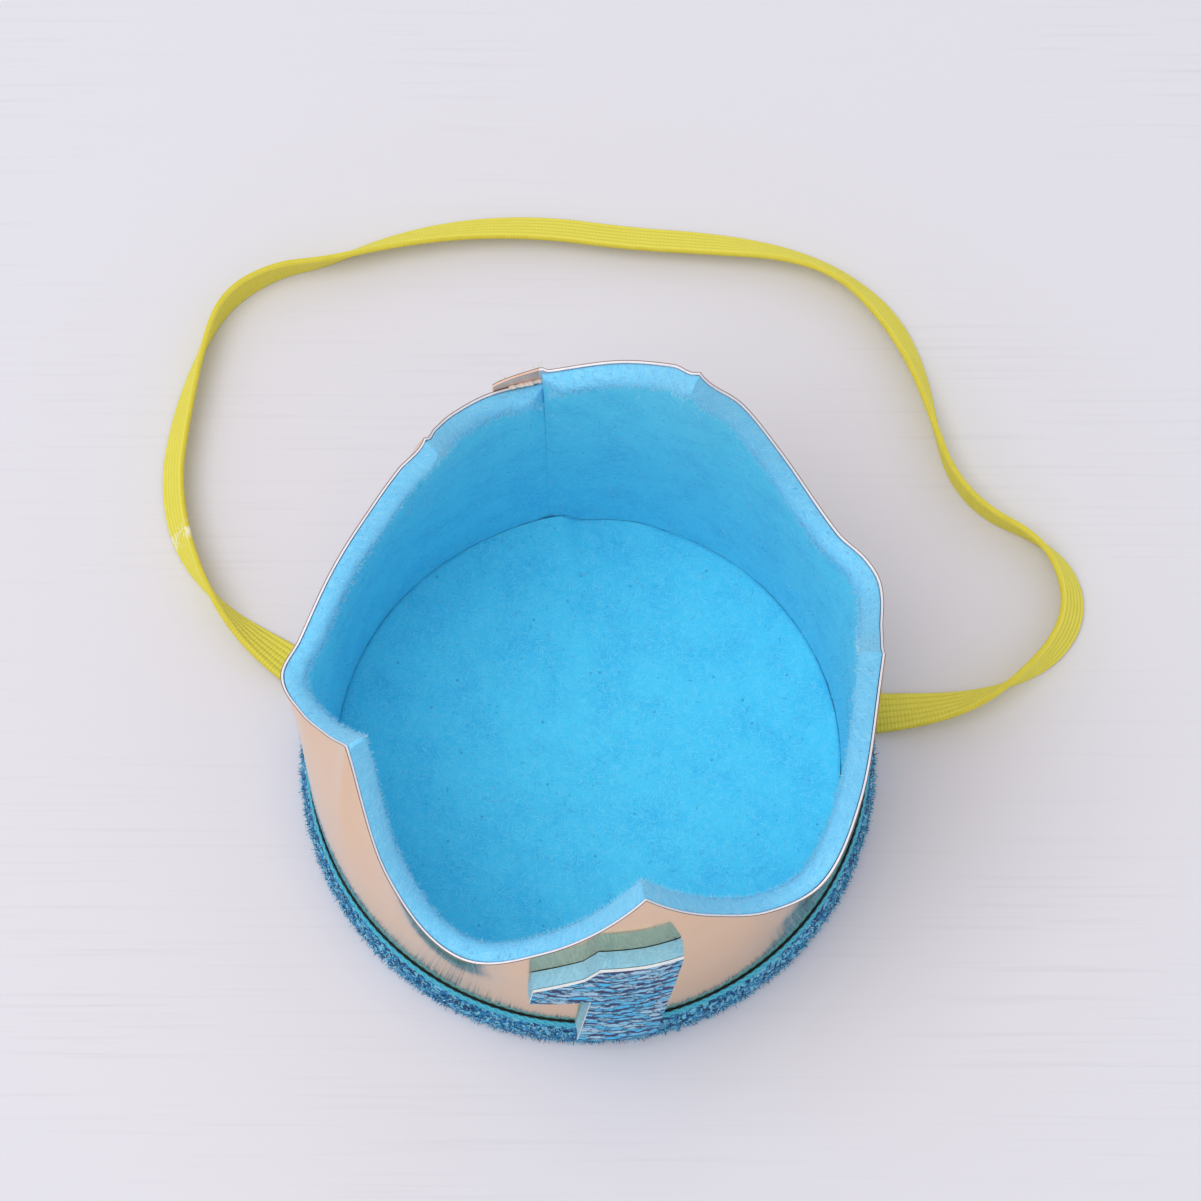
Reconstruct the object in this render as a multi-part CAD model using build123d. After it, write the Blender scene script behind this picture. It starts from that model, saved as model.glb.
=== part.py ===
from build123d import *
import math
import os

# A small party crown: a felt cup with a five-point rim, wrapped in mirror-gold foil,
# with a tinsel trim round its foot, a felt figure 1 on its front and an elastic chin loop.
# Millimetres. The crown stands on z = 0 with its axis on Z, and its front looks along -Y.
# A turn is measured in degrees round the axis from the back seam, going by way of the left side.

# Crown wall
SKIN_RADIUS = 42.5
SKIN_THICKNESS = 0.4
SKIN_FOOT = 0.5
FELT_THICKNESS = 3.0
GLUE_LINE = 0.1
PEAK_HEIGHT = 83.0
VALLEY_HEIGHT = 47.0
SEAM_LEFT_HEIGHT = 59.0
SEAM_RIGHT_HEIGHT = 63.0
STRAIGHT_HEIGHT = 14.0
SEAM_GAP = 0.3
STATION_STEP = 3.0
LEAN_CUTS = 3
SEAM_AZIMUTH = 99.0
PEAK_TURNS = (34.0, 113.0, 182.0, 251.0, 326.0)

# Rows of a turn and how far the rim stands inside the foot circle there, as a share of the skin's
# radius. A negative share flares outwards. The points lean in, most of all at the back left.
RIM_LEAN_SHARES = (
    (0.0, 0.015),
    (11.0, 0.04),
    (21.0, 0.11),
    (34.0, 0.24),
    (43.0, 0.16),
    (58.0, 0.07),
    (73.0, 0.01),
    (81.0, -0.035),
    (91.0, 0.03),
    (101.0, 0.09),
    (113.0, 0.106),
    (130.0, 0.006),
    (147.5, -0.057),
    (163.0, -0.002),
    (182.0, 0.013),
    (197.0, 0.013),
    (207.0, -0.023),
    (219.0, -0.064),
    (233.0, -0.028),
    (251.0, 0.036),
    (266.0, 0.013),
    (281.0, -0.036),
    (292.0, 0.0),
    (309.0, 0.034),
    (326.0, 0.14),
    (333.0, 0.075),
    (345.0, 0.024),
    (360.0, 0.018),
)

# Overlap of the skin at the back seam, and the glue bead along its top
TAB_LENGTH = 7.5
JOGGLE_LENGTH = 0.8
BEAD_RADIUS = 0.9

# Floor
FLOOR_THICKNESS = 3.0

# Trim: a woven header of two cords on top, with a fringe of pile below that flares outwards
TRIM_HEIGHT = 9.6
HEADER_CORD = 1.1
HEADER_THICKNESS = 0.7
PILE_FOOT_THICKNESS = 1.5
PILE_BELLY = 0.9
TRIM_GAP = 0.5
CORD_CUTS = 3
PILE_CUTS = 4

# Figure 1: felt backing and woven face, on the skin just above the trim
NUMERAL_TURN = 176.5
NUMERAL_TILT = 4.3
NUMERAL_HEIGHT = 46.5
STEM_WIDTH = 11.7
FLAG_REACH = 8.4
FLAG_SHOULDER = 1.8
NUMERAL_FELT = 2.4
NUMERAL_FACE = 0.4
FLAG_TIP_LOW_SHARE = 0.49
FLAG_TIP_HIGH_SHARE = 0.675
FLAG_ROOT_SHARE = 0.595
FLAG_SHOULDER_SHARE = 0.875

# Elastic loop: flat tape that lies on the table behind the crown. Its ends pass under the trim
# through a slot at each side and stop against the skin. The route is drawn for a skin of the radius
# given with it, and grows with the crown.
ELASTIC_WIDTH = 6.35
ELASTIC_THICKNESS = 1.0
SLOT_CLEARANCE = 0.8
ARC_SHARE = 0.45
ROUTE_RADIUS = 42.5
ELASTIC_ROUTE = (
    (-41.7, 12.7),
    (-49.5, 17.7),
    (-57.5, 25.0),
    (-63.8, 35.2),
    (-66.0, 46.0),
    (-64.8, 56.0),
    (-62.4, 66.5),
    (-58.6, 76.5),
    (-50.5, 82.2),
    (-42.0, 83.2),
    (-32.0, 86.2),
    (-20.0, 88.6),
    (-7.0, 88.9),
    (6.0, 87.0),
    (20.0, 86.0),
    (32.0, 84.2),
    (41.0, 80.3),
    (48.0, 73.5),
    (52.5, 64.5),
    (55.0, 54.5),
    (57.4, 47.0),
    (62.5, 41.0),
    (70.2, 37.0),
    (75.0, 31.6),
    (76.6, 25.0),
    (74.4, 18.6),
    (68.6, 13.6),
    (60.5, 9.7),
    (51.5, 8.1),
    (42.9, 7.8),
)

FULL_TURN = 360.0
FELT_INSET = SKIN_THICKNESS + GLUE_LINE
INNER_RADIUS = SKIN_RADIUS - FELT_INSET - FELT_THICKNESS
TRIM_RADIUS = SKIN_RADIUS + GLUE_LINE


def degrees_of(arc_length):
    """The angle that a length takes up along the skin."""
    return math.degrees(arc_length / SKIN_RADIUS)


def radial_plane(turn):
    """A plane through the axis: its x runs outwards and its y runs up."""
    angle = math.radians(SEAM_AZIMUTH + turn)
    outwards = (math.cos(angle), math.sin(angle), 0)
    sideways = (math.sin(angle), -math.cos(angle), 0)
    return Plane(origin=(0, 0, 0), x_dir=outwards, z_dir=sideways)


def rim_height(turn):
    """The cut edge: a parabola from point to point, and half of one at each side of the seam."""
    first, last = PEAK_TURNS[0], PEAK_TURNS[-1]
    if turn <= first:
        share = turn / first
        return SEAM_LEFT_HEIGHT + (PEAK_HEIGHT - SEAM_LEFT_HEIGHT) * share**2
    if turn >= last:
        share = (FULL_TURN - turn) / (FULL_TURN - last)
        return SEAM_RIGHT_HEIGHT + (PEAK_HEIGHT - SEAM_RIGHT_HEIGHT) * share**2
    start = max(peak for peak in PEAK_TURNS if peak <= turn)
    end = min(peak for peak in PEAK_TURNS if peak > turn)
    share = (2 * turn - start - end) / (end - start)
    return VALLEY_HEIGHT + (PEAK_HEIGHT - VALLEY_HEIGHT) * share**2


def rim_lean(turn):
    """How far the rim stands inside the foot circle: a smooth curve through the rows of the table."""
    rows = RIM_LEAN_SHARES
    last = len(rows) - 1
    at = max(index for index in range(last) if rows[index][0] <= turn)
    slopes = []
    for index in (at, at + 1):
        before = rows[max(index - 1, 0)]
        after = rows[min(index + 1, last)]
        slopes.append((after[1] - before[1]) / (after[0] - before[0]))
    (start, low), (end, high) = rows[at], rows[at + 1]
    span = end - start
    t = (turn - start) / span
    ease = t * t * (3 - 2 * t)
    share = low + (high - low) * ease
    share += span * t * (1 - t) * (slopes[0] * (1 - t) - slopes[1] * t)
    return SKIN_RADIUS * share


def wall_section(turn, inset, thickness, foot=0, reach=None):
    """A radial slice of one layer: upright at the foot, then leaning in a few cuts of a parabola.

    The inset is measured inwards from the skin's outer face. A layer with a reach of its own,
    above or below the rim, lies against the same leaning surface.
    """
    rim = rim_height(turn)
    top = rim if reach is None else reach
    lean = rim_lean(turn) * ((top - STRAIGHT_HEIGHT) / (rim - STRAIGHT_HEIGHT)) ** 2
    outer = SKIN_RADIUS - inset
    face = [(outer, foot)]
    for cut in range(LEAN_CUTS + 1):
        share = cut / LEAN_CUTS
        face.append((outer - lean * share**2, STRAIGHT_HEIGHT + (top - STRAIGHT_HEIGHT) * share))
    back = [(radius - thickness, height) for radius, height in reversed(face)]
    return radial_plane(turn) * make_face(Polyline(*face, *back, close=True))


def stations(start, end):
    """Azimuths of the slices from start to end, with one at each point of the crown on the way."""
    corners = [start] + [peak for peak in PEAK_TURNS if start < peak < end] + [end]
    found = [start]
    for low, high in zip(corners, corners[1:]):
        steps = math.ceil((high - low) / STATION_STEP)
        found += [low + (high - low) * step / steps for step in range(1, steps + 1)]
    return found


def make_liner():
    """Felt strip from one side of the seam round to the other."""
    half_gap = degrees_of(SEAM_GAP) / 2
    turns = stations(half_gap, FULL_TURN - half_gap)
    return loft([wall_section(turn, FELT_INSET, FELT_THICKNESS) for turn in turns], ruled=True)


def make_skin():
    """Foil strip with its right-hand end stepped outwards and lapped over the left-hand end."""
    lapped = -(GLUE_LINE + SKIN_THICKNESS)
    half_gap = degrees_of(SEAM_GAP) / 2
    strip_start = half_gap
    step_end = FULL_TURN - half_gap
    step_start = step_end - degrees_of(JOGGLE_LENGTH)
    tab_end = degrees_of(TAB_LENGTH)
    slices = []
    for turn in stations(strip_start, step_start):
        slices.append(wall_section(turn, 0, SKIN_THICKNESS, SKIN_FOOT))
    slices.append(wall_section(step_end, lapped, SKIN_THICKNESS, SKIN_FOOT))
    for turn in stations(strip_start, tab_end):
        slices.append(wall_section(turn, lapped, SKIN_THICKNESS, SKIN_FOOT, SEAM_RIGHT_HEIGHT))
    return loft(slices, ruled=True)


def make_tab_room():
    """The space that the lap of the skin takes up under the trim, with a glue line round it."""
    room_start = -degrees_of(SEAM_GAP + JOGGLE_LENGTH + GLUE_LINE)
    room_end = degrees_of(TAB_LENGTH + GLUE_LINE)
    depth = 3 * GLUE_LINE + SKIN_THICKNESS
    middle = TRIM_RADIUS - GLUE_LINE + depth / 2
    profile = Pos(middle, TRIM_HEIGHT / 2) * Rectangle(depth, 2 * TRIM_HEIGHT)
    sector = revolve(Plane.XZ * profile, Axis.Z, room_end - room_start)
    return Rot(0, 0, SEAM_AZIMUTH + room_start) * sector


def make_floor():
    """Felt disc that closes the cup, flush with the foot of the wall."""
    return extrude(Circle(INNER_RADIUS - GLUE_LINE), FLOOR_THICKNESS)


def make_slot(end_point):
    """Room under the trim for one end of the elastic."""
    azimuth = math.degrees(math.atan2(end_point[1], end_point[0]))
    length = 4 * (PILE_FOOT_THICKNESS + PILE_BELLY)
    width = ELASTIC_WIDTH + 2 * SLOT_CLEARANCE
    height = ELASTIC_THICKNESS + GLUE_LINE
    room = Pos(TRIM_RADIUS, 0, 0) * Box(length, width, 2 * height)
    return Rot(0, 0, azimuth) * room


def rounded(start, end, depth, cuts):
    """Points of a soft bulge from start to end, in a few straight cuts, without its first point."""
    points = []
    for cut in range(1, cuts + 1):
        share = cut / cuts
        outwards = start[0] + (end[0] - start[0]) * share + depth * math.sin(math.pi * share)
        points.append((outwards, start[1] + (end[1] - start[1]) * share))
    return points


def make_trim():
    """Ribbon trim turned round the foot: the belly of the pile, then two header cords."""
    foot = (TRIM_RADIUS + PILE_FOOT_THICKNESS, 0)
    top = (TRIM_RADIUS + HEADER_THICKNESS, TRIM_HEIGHT)
    between = (top[0], TRIM_HEIGHT - HEADER_CORD)
    under = (top[0], TRIM_HEIGHT - 2 * HEADER_CORD)
    outline = [(TRIM_RADIUS, 0), foot]
    outline += rounded(foot, under, PILE_BELLY, PILE_CUTS)
    outline += rounded(under, between, HEADER_CORD / 2, CORD_CUTS)
    outline += rounded(between, top, HEADER_CORD / 2, CORD_CUTS)
    outline.append((TRIM_RADIUS, TRIM_HEIGHT))
    section = make_face(Polyline(*outline, close=True))
    gap = degrees_of(TRIM_GAP)
    ring = revolve(Plane.XZ * section, Axis.Z, FULL_TURN - gap)
    ring = Rot(0, 0, SEAM_AZIMUTH + gap / 2) * ring
    return ring - make_tab_room() - make_slot(ELASTIC_ROUTE[0]) - make_slot(ELASTIC_ROUTE[-1])


def numeral_outline():
    """The figure 1, upright, with the middle of its foot at the origin."""
    side = STEM_WIDTH / 2
    tip = side + FLAG_REACH
    points = [
        (-side, 0),
        (side, 0),
        (side, NUMERAL_HEIGHT),
        (-side, NUMERAL_HEIGHT),
        (-side - FLAG_SHOULDER, NUMERAL_HEIGHT * FLAG_SHOULDER_SHARE),
        (-tip, NUMERAL_HEIGHT * FLAG_TIP_HIGH_SHARE),
        (-tip, NUMERAL_HEIGHT * FLAG_TIP_LOW_SHARE),
        (-side, NUMERAL_HEIGHT * FLAG_ROOT_SHARE),
    ]
    return make_face(Polyline(*points, close=True))


def make_numeral_layer(inset, thickness):
    """One layer of the figure 1, cut from a band that follows the leaning wall."""
    angle = math.radians(SEAM_AZIMUTH + NUMERAL_TURN)
    drop = STEM_WIDTH / 2 * math.sin(math.radians(NUMERAL_TILT))
    foot = TRIM_HEIGHT + drop + GLUE_LINE
    front = Plane(
        origin=(0, 0, foot),
        x_dir=(-math.sin(angle), math.cos(angle), 0),
        z_dir=(math.cos(angle), math.sin(angle), 0),
    )
    cutter = extrude(front * (Rot(0, 0, -NUMERAL_TILT) * numeral_outline()), 2 * SKIN_RADIUS)
    band_top = foot + NUMERAL_HEIGHT + STEM_WIDTH
    left, right = PEAK_TURNS[1], PEAK_TURNS[3]
    slices = [wall_section(turn, inset, thickness, 0, band_top) for turn in stations(left, right)]
    return loft(slices, ruled=True) & cutter


def make_bead():
    """Hot glue in the corner between the lap of the skin and the first run of rim beside the seam."""
    half_gap = degrees_of(SEAM_GAP) / 2
    slices = []
    for turn in stations(half_gap, PEAK_TURNS[0])[:3]:
        seat = rim_height(turn) + GLUE_LINE
        back = SKIN_RADIUS - rim_lean(turn)
        outline = [
            Line((back, seat), (back - BEAD_RADIUS, seat)),
            RadiusArc((back - BEAD_RADIUS, seat), (back, seat + BEAD_RADIUS), BEAD_RADIUS),
            Line((back, seat + BEAD_RADIUS), (back, seat)),
        ]
        slices.append(radial_plane(turn) * Face(Wire(outline)))
    return loft(slices, ruled=True)


def make_elastic():
    """Flat tape swept along straight runs joined by the largest arcs that the runs leave room for."""
    middle = ELASTIC_THICKNESS / 2
    growth = SKIN_RADIUS / ROUTE_RADIUS
    points = [Vector(x * growth, y * growth, middle) for x, y in ELASTIC_ROUTE]
    runs = [end - start for start, end in zip(points, points[1:])]
    radii = []
    for before, after in zip(runs, runs[1:]):
        shorter = min(before.length, after.length)
        half_turn = math.radians(before.get_angle(after)) / 2
        radii.append(ARC_SHARE * shorter / math.tan(half_turn))
    path = FilletPolyline(*points, radius=radii)
    start = Plane(origin=points[0], x_dir=(0, 0, 1), z_dir=runs[0])
    tape = sweep(start * Rectangle(ELASTIC_THICKNESS, ELASTIC_WIDTH), path)
    print("elastic bend radii", [round(radius, 1) for radius in radii])
    print("elastic length", round(path.length, 1), "volume", round(tape.volume, 1))
    print("section times length", round(path.length * ELASTIC_THICKNESS * ELASTIC_WIDTH, 1))
    return tape


face_inset = -(GLUE_LINE + NUMERAL_FELT + GLUE_LINE + NUMERAL_FACE)
backing_inset = -(GLUE_LINE + NUMERAL_FELT)

nodes = {
    "outer_skin": make_skin(),
    "felt_liner": make_liner(),
    "floor_disc": make_floor(),
    "base_trim": make_trim(),
    "numeral_backing": make_numeral_layer(backing_inset, NUMERAL_FELT),
    "numeral_face": make_numeral_layer(face_inset, NUMERAL_FACE),
    "seam_glue": make_bead(),
    "elastic_loop": make_elastic(),
}

os.makedirs("parts", exist_ok=True)
for name, solid in nodes.items():
    export_step(solid, f"parts/{name}.step")
    print(name, "solids", len(solid.solids()), "volume", round(solid.volume, 1))
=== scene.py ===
# %% [markdown]
# # A small party crown of felt and foil
# The crown is a felt cup with a pointed rim, wrapped in gold mirror foil. A band of tinsel trim runs
# round its foot, a felt figure 1 is stuck on its front, and a flat elastic lies in a loop behind it.
# Its pieces could be modelled anywhere and moved into place. Here each one is made in metres where its
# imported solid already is, so that the solids and the scene share one frame.

# %% Frame, units and the box of the solids
import math
import random

import bmesh
import bpy
from mathutils import Matrix, Vector, noise


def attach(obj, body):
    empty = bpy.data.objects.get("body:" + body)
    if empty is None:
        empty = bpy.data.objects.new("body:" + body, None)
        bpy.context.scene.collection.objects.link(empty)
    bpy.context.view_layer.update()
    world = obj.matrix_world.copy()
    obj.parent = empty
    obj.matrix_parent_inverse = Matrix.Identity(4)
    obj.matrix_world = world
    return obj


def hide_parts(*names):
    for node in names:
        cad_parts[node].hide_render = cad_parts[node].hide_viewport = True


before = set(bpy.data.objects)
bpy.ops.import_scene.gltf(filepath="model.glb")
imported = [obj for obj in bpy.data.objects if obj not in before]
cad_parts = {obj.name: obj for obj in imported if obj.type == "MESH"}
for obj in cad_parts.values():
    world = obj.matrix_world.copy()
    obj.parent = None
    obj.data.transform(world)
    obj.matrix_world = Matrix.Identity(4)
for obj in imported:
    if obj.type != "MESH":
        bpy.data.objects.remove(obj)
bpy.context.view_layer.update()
MM = 0.001
FULL_TURN = 360.0
draw = random.Random(7)
print("solids:", sorted(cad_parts))

# %% [markdown]
# ## Camera
# The photograph looks down at the front of the crown from about 73 degrees up, through a long lens. A
# camera can be set by eye. Here its aim and distance were worked out from the circle where the trim meets
# the foil, because a camera that is worked out lets every later shape be held against the photograph.

# %% Camera
PHOTO_SIZE = 1201
FOCAL_PIXELS = 4000
SENSOR = 36.0
VIEW_RISE = math.radians(72.57)
AIM = Vector((1.935, 26.495, 0.0)) * MM
DISTANCE = 627.64 * MM
NEAR_CLIP = 10 * MM

camera_data = bpy.data.cameras.new("camera")
camera_data.sensor_width = SENSOR
camera_data.lens = SENSOR * FOCAL_PIXELS / PHOTO_SIZE
camera_data.clip_start = NEAR_CLIP
camera = bpy.data.objects.new("camera", camera_data)
camera.location = AIM + DISTANCE * Vector((0, -math.cos(VIEW_RISE), math.sin(VIEW_RISE)))
camera.rotation_euler = (math.pi / 2 - VIEW_RISE, 0, 0)
bpy.context.collection.objects.link(camera)
bpy.context.scene.camera = camera
bpy.context.scene.view_settings.view_transform = "Standard"
print("lens in mm:", round(camera_data.lens, 1))

# %% [markdown]
# ## Helpers for colours and nodes
# Every finish on the crown is a node material. Each could be wired by hand in the editor. Here colours
# are written as sRGB hex values, as an eyedropper gives them, and turned to linear once, and one function
# adds a node with its settings and links, so that a material reads as a short list of steps. A Mix node
# of colours takes its factor at input 0 and its colours at 6 and 7, and gives the mix at output 2.

# %% Colours and nodes
def linear(hex_colour):
    """Linear colour of an sRGB hex value; the numbers are those of the sRGB standard."""
    channels = [int(hex_colour[at:at + 2], 16) / 255 for at in (0, 2, 4)]
    return [c / 12.92 if c <= 0.04045 else ((c + 0.055) / 1.055) ** 2.4 for c in channels] + [1.0]


def add_node(tree, kind, inputs, **settings):
    node = tree.nodes.new(kind)
    for name, value in settings.items():
        setattr(node, name, value)
    for name, value in inputs.items():
        if isinstance(value, bpy.types.NodeSocket):
            tree.links.new(value, node.inputs[name])
        else:
            node.inputs[name].default_value = value
    return node


def new_material(name, **values):
    material = bpy.data.materials.new(name)
    material.use_nodes = True
    shader = material.node_tree.nodes["Principled BSDF"]
    for socket, value in values.items():
        shader.inputs[socket.replace("_", " ")].default_value = value
    return material, material.node_tree, shader


# %% Plain materials
MOTTLE_DETAIL = 3.0
MOTTLE_LOW = 0.3
MOTTLE_HIGH = 0.7
ROUGH_SWING = 0.15


def mottled(name, first, second, size, **values):
    """A material of two close tones, mixed by smooth noise with lumps of that size in mm."""
    material, tree, shader = new_material(name, **values)
    spot = add_node(tree, "ShaderNodeTexCoord", {}).outputs["Object"]
    lumps = {"Vector": spot, "Scale": 1 / (size * MM), "Detail": MOTTLE_DETAIL}
    lumps = add_node(tree, "ShaderNodeTexNoise", lumps).outputs["Fac"]
    lumps = {"Value": lumps, "From Min": MOTTLE_LOW, "From Max": MOTTLE_HIGH}
    lumps = add_node(tree, "ShaderNodeMapRange", lumps).outputs[0]
    tone = {0: lumps, 6: linear(first), 7: linear(second)}
    tone = add_node(tree, "ShaderNodeMix", tone, data_type="RGBA").outputs[2]
    tree.links.new(tone, shader.inputs["Base Color"])
    rough = values["Roughness"]
    rough = {"Value": lumps, "To Min": (1 - ROUGH_SWING) * rough, "To Max": (1 + ROUGH_SWING) * rough}
    rough = add_node(tree, "ShaderNodeMapRange", rough).outputs[0]
    tree.links.new(rough, shader.inputs["Roughness"])
    return material


# %% [markdown]
# ## Helpers for pieces
# The foil, the felt, the trim and the elastic are all strips with a cross-section. A strip could be swept
# along a curve. A flat grid whose points are carried to their places does the same and leaves every point
# free to lean, ripple or fray, so one helper serves all four. The grid keeps a UV map in millimetres,
# which is what the cloth patterns are drawn on. A finished bmesh becomes an object at the origin.

# %% Pieces and grids
WELD = 0.001 * MM


def finish_piece(name, bm, materials, sharp_degrees):
    """Makes the bmesh an object with smooth faces and sharp creases that rides on the crown's body."""
    bmesh.ops.recalc_face_normals(bm, faces=bm.faces)
    for face in bm.faces:
        face.smooth = True
    for edge in bm.edges:
        if edge.is_manifold and edge.calc_face_angle() > math.radians(sharp_degrees):
            edge.smooth = False
    mesh = bpy.data.meshes.new(name)
    bm.to_mesh(mesh)
    bm.free()
    for material in materials:
        mesh.materials.append(material)
    piece = bpy.data.objects.new(name, mesh)
    bpy.context.collection.objects.link(piece)
    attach(piece, "root")
    print(name, "faces:", len(mesh.polygons))
    return piece


def shaped_grid(columns, rows, place, tones=None, cut_shares=None):
    """A flat grid, each point of which is carried to its place; place gives a spot and a UV in mm."""
    bm = bmesh.new()
    uv_layer = bm.loops.layers.uv.new("pattern")
    cut_layer = bm.verts.layers.float.new("cut")
    bmesh.ops.create_grid(bm, x_segments=columns, y_segments=rows, size=1)
    flat, row_of = {}, {}
    for vert in bm.verts:
        column = round((vert.co.x + 1) / 2 * columns)
        row_of[vert] = round((vert.co.y + 1) / 2 * rows)
        spot, flat[vert] = place(column, row_of[vert])
        vert.co = Vector(spot) * MM
        if cut_shares:
            vert[cut_layer] = cut_shares[row_of[vert]]
    for face in bm.faces:
        for loop in face.loops:
            loop[uv_layer].uv = flat[loop.vert]
        if tones:
            face.material_index = tones[min(row_of[vert] for vert in face.verts)]
    return bm


def close_tube(bm):
    """Welds the first and last row of a grid, and fills the two open ends."""
    bmesh.ops.remove_doubles(bm, verts=bm.verts, dist=WELD)
    bmesh.ops.holes_fill(bm, edges=[edge for edge in bm.edges if edge.is_boundary], sides=0)


def waver(spot, size, seed):
    """Smooth noise from about -1 to 1 with lumps of that size in mm."""
    return noise.noise(Vector(spot) / size + Vector((seed, 2 * seed, 3 * seed)))


# %% [markdown]
# ## Elastic loop
# The elastic is a flat woven tape with six ribs. It can't bend in its own plane, so on the table it
# turns on to its edge and leans inwards, and it lies flat only at its two roots under the trim. It could
# be a curve with a bevel, but then the tilt has to be set point by point. Here its line is one NURBS
# spline along the solid's route, and a second spline of the same kind carries the tilt, so that tape and
# tilt are read off at the same places.

# %% Elastic line
ELASTIC_WIDTH = 6.35
ELASTIC_THICKNESS = 1.0
SPLINE_ORDER = 3
SPLINE_STEPS = 8
# Each row is x, y and the tilt in degrees: 0 is face up, 90 is on edge, and more leans inwards.
ELASTIC_ROUTE = (
    (-41.7, 12.7, 0),
    (-49.5, 17.5, 28),
    (-57.5, 24.4, 76),
    (-63.7, 34.4, 116),
    (-65.8, 45.2, 122),
    (-64.6, 55.2, 121),
    (-62.2, 65.7, 106),
    (-58.4, 75.7, 84),
    (-50.4, 81.0, 92),
    (-42.0, 82.4, 104),
    (-32.0, 86.0, 124),
    (-20.0, 88.4, 136),
    (-7.0, 88.7, 142),
    (6.0, 86.8, 142),
    (20.0, 85.8, 140),
    (32.0, 84.0, 124),
    (41.0, 80.1, 117),
    (48.0, 73.2, 128),
    (52.5, 64.0, 116),
    (55.0, 53.7, 98),
    (57.2, 46.2, 93),
    (62.2, 40.0, 93),
    (70.2, 36.0, 101),
    (74.8, 30.8, 122),
    (76.0, 24.2, 126),
    (73.2, 18.0, 115),
    (67.9, 13.5, 94),
    (60.5, 9.6, 56),
    (51.5, 8.0, 26),
    (42.9, 7.8, 0),
)


def spline_points(name, rows):
    """Points along a NURBS spline that has those rows as its control points."""
    curve = bpy.data.curves.new(name, "CURVE")
    curve.dimensions = "3D"
    spline = curve.splines.new("NURBS")
    spline.points.add(len(rows) - 1)
    for point, row in zip(spline.points, rows):
        point.co = (*row, 1)
    spline.order_u = SPLINE_ORDER
    spline.use_endpoint_u = True
    spline.resolution_u = SPLINE_STEPS
    line = bpy.data.objects.new(name, curve)
    mesh = bpy.data.meshes.new_from_object(line)
    points = [vert.co.copy() for vert in mesh.vertices]
    bpy.data.meshes.remove(mesh)
    bpy.data.objects.remove(line)
    bpy.data.curves.remove(curve)
    return points


def resting_height(tilt):
    """Height of the middle of the tape when its lower edge is on the table."""
    angle = math.radians(tilt)
    return ELASTIC_WIDTH / 2 * math.sin(angle) + ELASTIC_THICKNESS / 2 * abs(math.cos(angle))


line_rows = [(x, y, resting_height(tilt)) for x, y, tilt in ELASTIC_ROUTE]
tape_line = spline_points("tape line", line_rows)
tilt_rows = [(tilt, 0, 0) for x, y, tilt in ELASTIC_ROUTE]
tape_tilts = [point.x for point in spline_points("tape tilt", tilt_rows)]

# %% Elastic tape
RIBS = 6
RIB_DEPTH = 0.2
RIB_CUTS = 4
RIB_ROUND = 0.7

face_cuts = RIBS * RIB_CUTS
tape_section = []
for cut in range(face_cuts + 1):
    across = ELASTIC_WIDTH * (cut / face_cuts - 0.5)
    crest = abs(math.sin(math.pi * cut / RIB_CUTS)) ** RIB_ROUND
    tape_section.append((across, ELASTIC_THICKNESS / 2 - RIB_DEPTH * (1 - crest)))
tape_section += [(across, -depth) for across, depth in reversed(tape_section)]
tape_section.append(tape_section[0])
tape_runs = [0.0]
for a, b in zip(tape_line, tape_line[1:]):
    tape_runs.append(tape_runs[-1] + (b - a).length)


def tape_place(column, row):
    centre = tape_line[column]
    ahead = tape_line[min(column + 1, len(tape_line) - 1)] - tape_line[max(column - 1, 0)]
    inwards = Vector((ahead.y, -ahead.x, 0)).normalized()
    angle = math.radians(tape_tilts[column])
    up = Vector((0, 0, 1))
    face = up * math.cos(angle) + inwards * math.sin(angle)
    side = up * math.sin(angle) - inwards * math.cos(angle)
    across, depth = tape_section[row]
    return centre + side * across + face * depth, (across, tape_runs[column])


bm = shaped_grid(len(tape_line) - 1, len(tape_section) - 1, tape_place)
close_tube(bm)
print("points round the tape:", len(tape_section) - 1)

# %% [markdown]
# ## Elastic cloth
# The tape is dyed polyester yarn woven over rubber. Its ribs are in the mesh. The yarn that crosses them
# could be modelled too, but it is so fine that a bump shows it as well, so the weave is drawn on the
# tape's own UV map: across it the ribs, with a painted highlight on their crests and painted shade in
# their grooves, along it the weft, and one place that has rubbed pale.

# %% Elastic cloth
WEFT_PITCH = 0.55
WEFT_DEPTH = 0.06
WEFT_STRENGTH = 0.35
WEAR_SIZE = 2.5
RIB_SHADE_END = 0.55
SCUFF_AT = 33.0
SCUFF_REACH = 2.0
FRAY_SIZE = 0.9
FRAY_START = 0.5
FRAY_END = 0.62

# Dyed polyester yarn is satin. The crests of the ribs get a painted highlight, and the grooves between
# them get painted shade in a darker mustard.
elastic_cloth, tree, shader = new_material("ribbed yellow elastic", Roughness=0.62)
uv = add_node(tree, "ShaderNodeUVMap", {}, uv_map="pattern").outputs["UV"]
parts = add_node(tree, "ShaderNodeSeparateXYZ", {"Vector": uv}).outputs
rib = {0: parts["X"], 1: math.pi * RIBS / ELASTIC_WIDTH}
rib = add_node(tree, "ShaderNodeMath", rib, operation="MULTIPLY").outputs[0]
rib = add_node(tree, "ShaderNodeMath", {0: rib}, operation="SINE").outputs[0]
rib = add_node(tree, "ShaderNodeMath", {0: rib}, operation="ABSOLUTE").outputs[0]
# This mask is 0 in the grooves and 1 on the rib crests: painted shade and painted highlight of the ribs.
groove = {"Value": rib, "From Min": 0.0, "From Max": RIB_SHADE_END}
groove = add_node(tree, "ShaderNodeMapRange", groove).outputs[0]
weft = {0: parts["Y"], 1: 2 * math.pi / WEFT_PITCH}
weft = add_node(tree, "ShaderNodeMath", weft, operation="MULTIPLY").outputs[0]
weft = add_node(tree, "ShaderNodeMath", {0: weft}, operation="SINE").outputs[0]
wear = {"Vector": uv, "Scale": 1 / WEAR_SIZE, "Detail": 3.0}
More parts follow.
